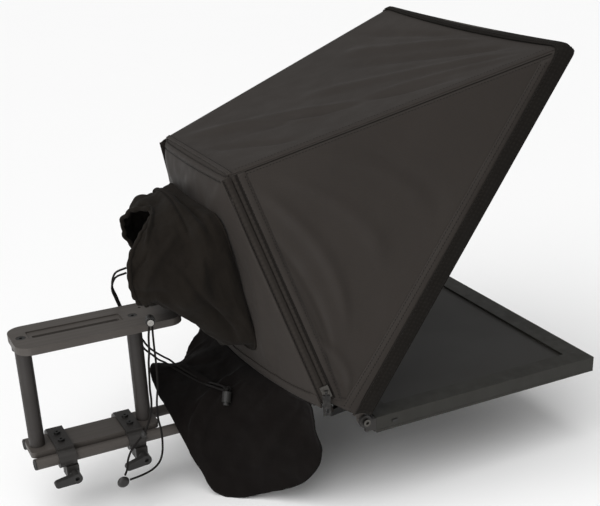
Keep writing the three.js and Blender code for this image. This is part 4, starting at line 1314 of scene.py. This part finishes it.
DRAPE_EDGE = mm([
    (-186, -2, 28), (-182, 2, 2), (-164, 22, -30), (-130, 55, -50), (-104, 86, -62),
    (-81, 111, -58), (-66, 127, -25), (-50, 144, 28), (-28, 152, 58), (20, 151, 70),
    (62, 142, 79), (95, 112, 55), (118, 86, 5), (138, 58, -30), (162, 26, -28),
    (178, 4, -2), (184, -4, 26),
])
# The first coordinate runs from near to far, the second from the seam down to the edge.
DRAPE_FOLDS = [
    ((0.06, 0.15), (0.20, 0.95), 0.018, 0.0045), ((0.18, 0.08), (0.28, 0.92), 0.016, -0.0040),
    ((0.30, 0.10), (0.34, 0.90), 0.014, 0.0045), ((0.38, 0.15), (0.47, 0.75), 0.014, 0.0050),
    ((0.44, 0.30), (0.60, 0.55), 0.016, 0.0040), ((0.52, 0.10), (0.66, 0.85), 0.016, -0.0035),
    ((0.70, 0.10), (0.76, 0.90), 0.018, 0.0045), ((0.82, 0.10), (0.86, 0.95), 0.018, -0.0045),
    ((0.92, 0.12), (0.90, 0.90), 0.014, 0.0040),
]
SEAM_HALF = 0.190
DRAPE_FACING = np.array([-0.3, 1, 0.5])
DRAPE_LARGEST_LIFT = 0.006


def drape_points():
    """The drape hangs from the back panel's hem and turns up over the rods in the middle."""
    edge_line = smooth_line(DRAPE_EDGE, 60)
    travelled = [0.0]
    for a, b in zip(edge_line, edge_line[1:]):
        travelled.append(travelled[-1] + (b - a).length)
    points = np.empty((DRAPE_ROWS + 1, DRAPE_COLUMNS + 1, 3))
    for column in range(DRAPE_COLUMNS + 1):
        u = column / DRAPE_COLUMNS
        index = min(int(np.searchsorted(travelled, u * travelled[-1])), len(edge_line) - 1)
        edge = edge_line[index]
        x = SEAM_HALF * (2 * u - 1)
        seam = Vector((x, back_y(x, BACK_BOTTOM.z) + 0.001, BACK_BOTTOM.z - 0.004))
        hang = min(max((seam.z - edge.z) / 0.1, 0), 1) ** 2
        control = Vector((
            edge.x,
            (seam.y + edge.y) / 2 * (1 - hang) + edge.y * hang,
            (edge.z - 0.013) * (1 - hang) + (edge.z + 0.9 * (seam.z - edge.z)) * hang,
        ))
        for row in range(DRAPE_ROWS + 1):
            v = row / DRAPE_ROWS
            points[row, column] = seam * (1 - v) ** 2 + control * 2 * v * (1 - v) + edge * v ** 2
    out = turned_out(normals_of(points), DRAPE_FACING)
    u, v = unit_grid(DRAPE_ROWS, DRAPE_COLUMNS)
    lift = 0.0035 * np.sin(24 * u + 3 * np.sin(5 * u) + 2 * v) * np.sin(np.pi * np.clip(v * 1.1, 0, 1))
    lift = lift + folded(u, v, DRAPE_FOLDS)
    lift = lift + cloth_noise(points, 14, 0.004, 9.0) + cloth_noise(points, 50, 0.0012, 4.0)
    lift = np.clip(lift, -DRAPE_LARGEST_LIFT, DRAPE_LARGEST_LIFT) * np.clip(v * 8, 0, 1)
    return points + out * lift[..., None]


def make_drape():
    points = drape_points()
    made = cloth("drape_cloth", points, "drape", 0.0014, body=None)
    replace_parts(made, "drape")
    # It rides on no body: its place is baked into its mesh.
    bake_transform(made)


make_drape()


# ---------------------------------------------------------------- floor and light

def make_stage():
    floor_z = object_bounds()[0].z - 0.0005
    size = 14.0
    corners = [(x, y, floor_z) for x, y in ((-size, -size), (size, -size), (size, size), (-size, size))]
    floor = bpy.data.objects.new("floor", mesh_from("floor", corners, [(0, 1, 2, 3)]))
    bpy.context.collection.objects.link(floor)
    shader = Shader("studio_floor", (0.93, 0.93, 0.93), 0.9, specular=0.1)
    shader.patches(2, 2, (0.92, 0.92, 0.92), 0.3)
    floor.data.materials.append(shader.material)


def add_light(name, kind, energy, place, direction, **settings):
    data = bpy.data.lights.new(name, kind)
    data.energy = energy
    for key, value in settings.items():
        setattr(data, key, value)
    light = bpy.data.objects.new(name, data)
    bpy.context.collection.objects.link(light)
    light.location = place
    light.rotation_euler = direction.to_track_quat("-Z", "Y").to_euler()


def make_lights():
    """A white room, a soft light from above the operator's side and a small low one on the near side."""
    world = bpy.data.worlds.new("studio")
    world.use_nodes = True
    background = world.node_tree.nodes["Background"]
    background.inputs["Color"].default_value = (1, 1, 1, 1)
    background.inputs["Strength"].default_value = 0.36
    bpy.context.scene.world = world
    add_light("soft_box", "SUN", 2.5, Vector(), Vector((0.25, -0.55, -1.0)), angle=math.radians(70))
    low_place = Vector((-1.0, 1.1, 0.15))
    add_light("low_box", "AREA", 9.0, low_place, Vector((-0.2, 0, 0.2)) - low_place, size=0.8)


make_stage()
make_lights()
bpy.context.scene.view_settings.view_transform = "Standard"
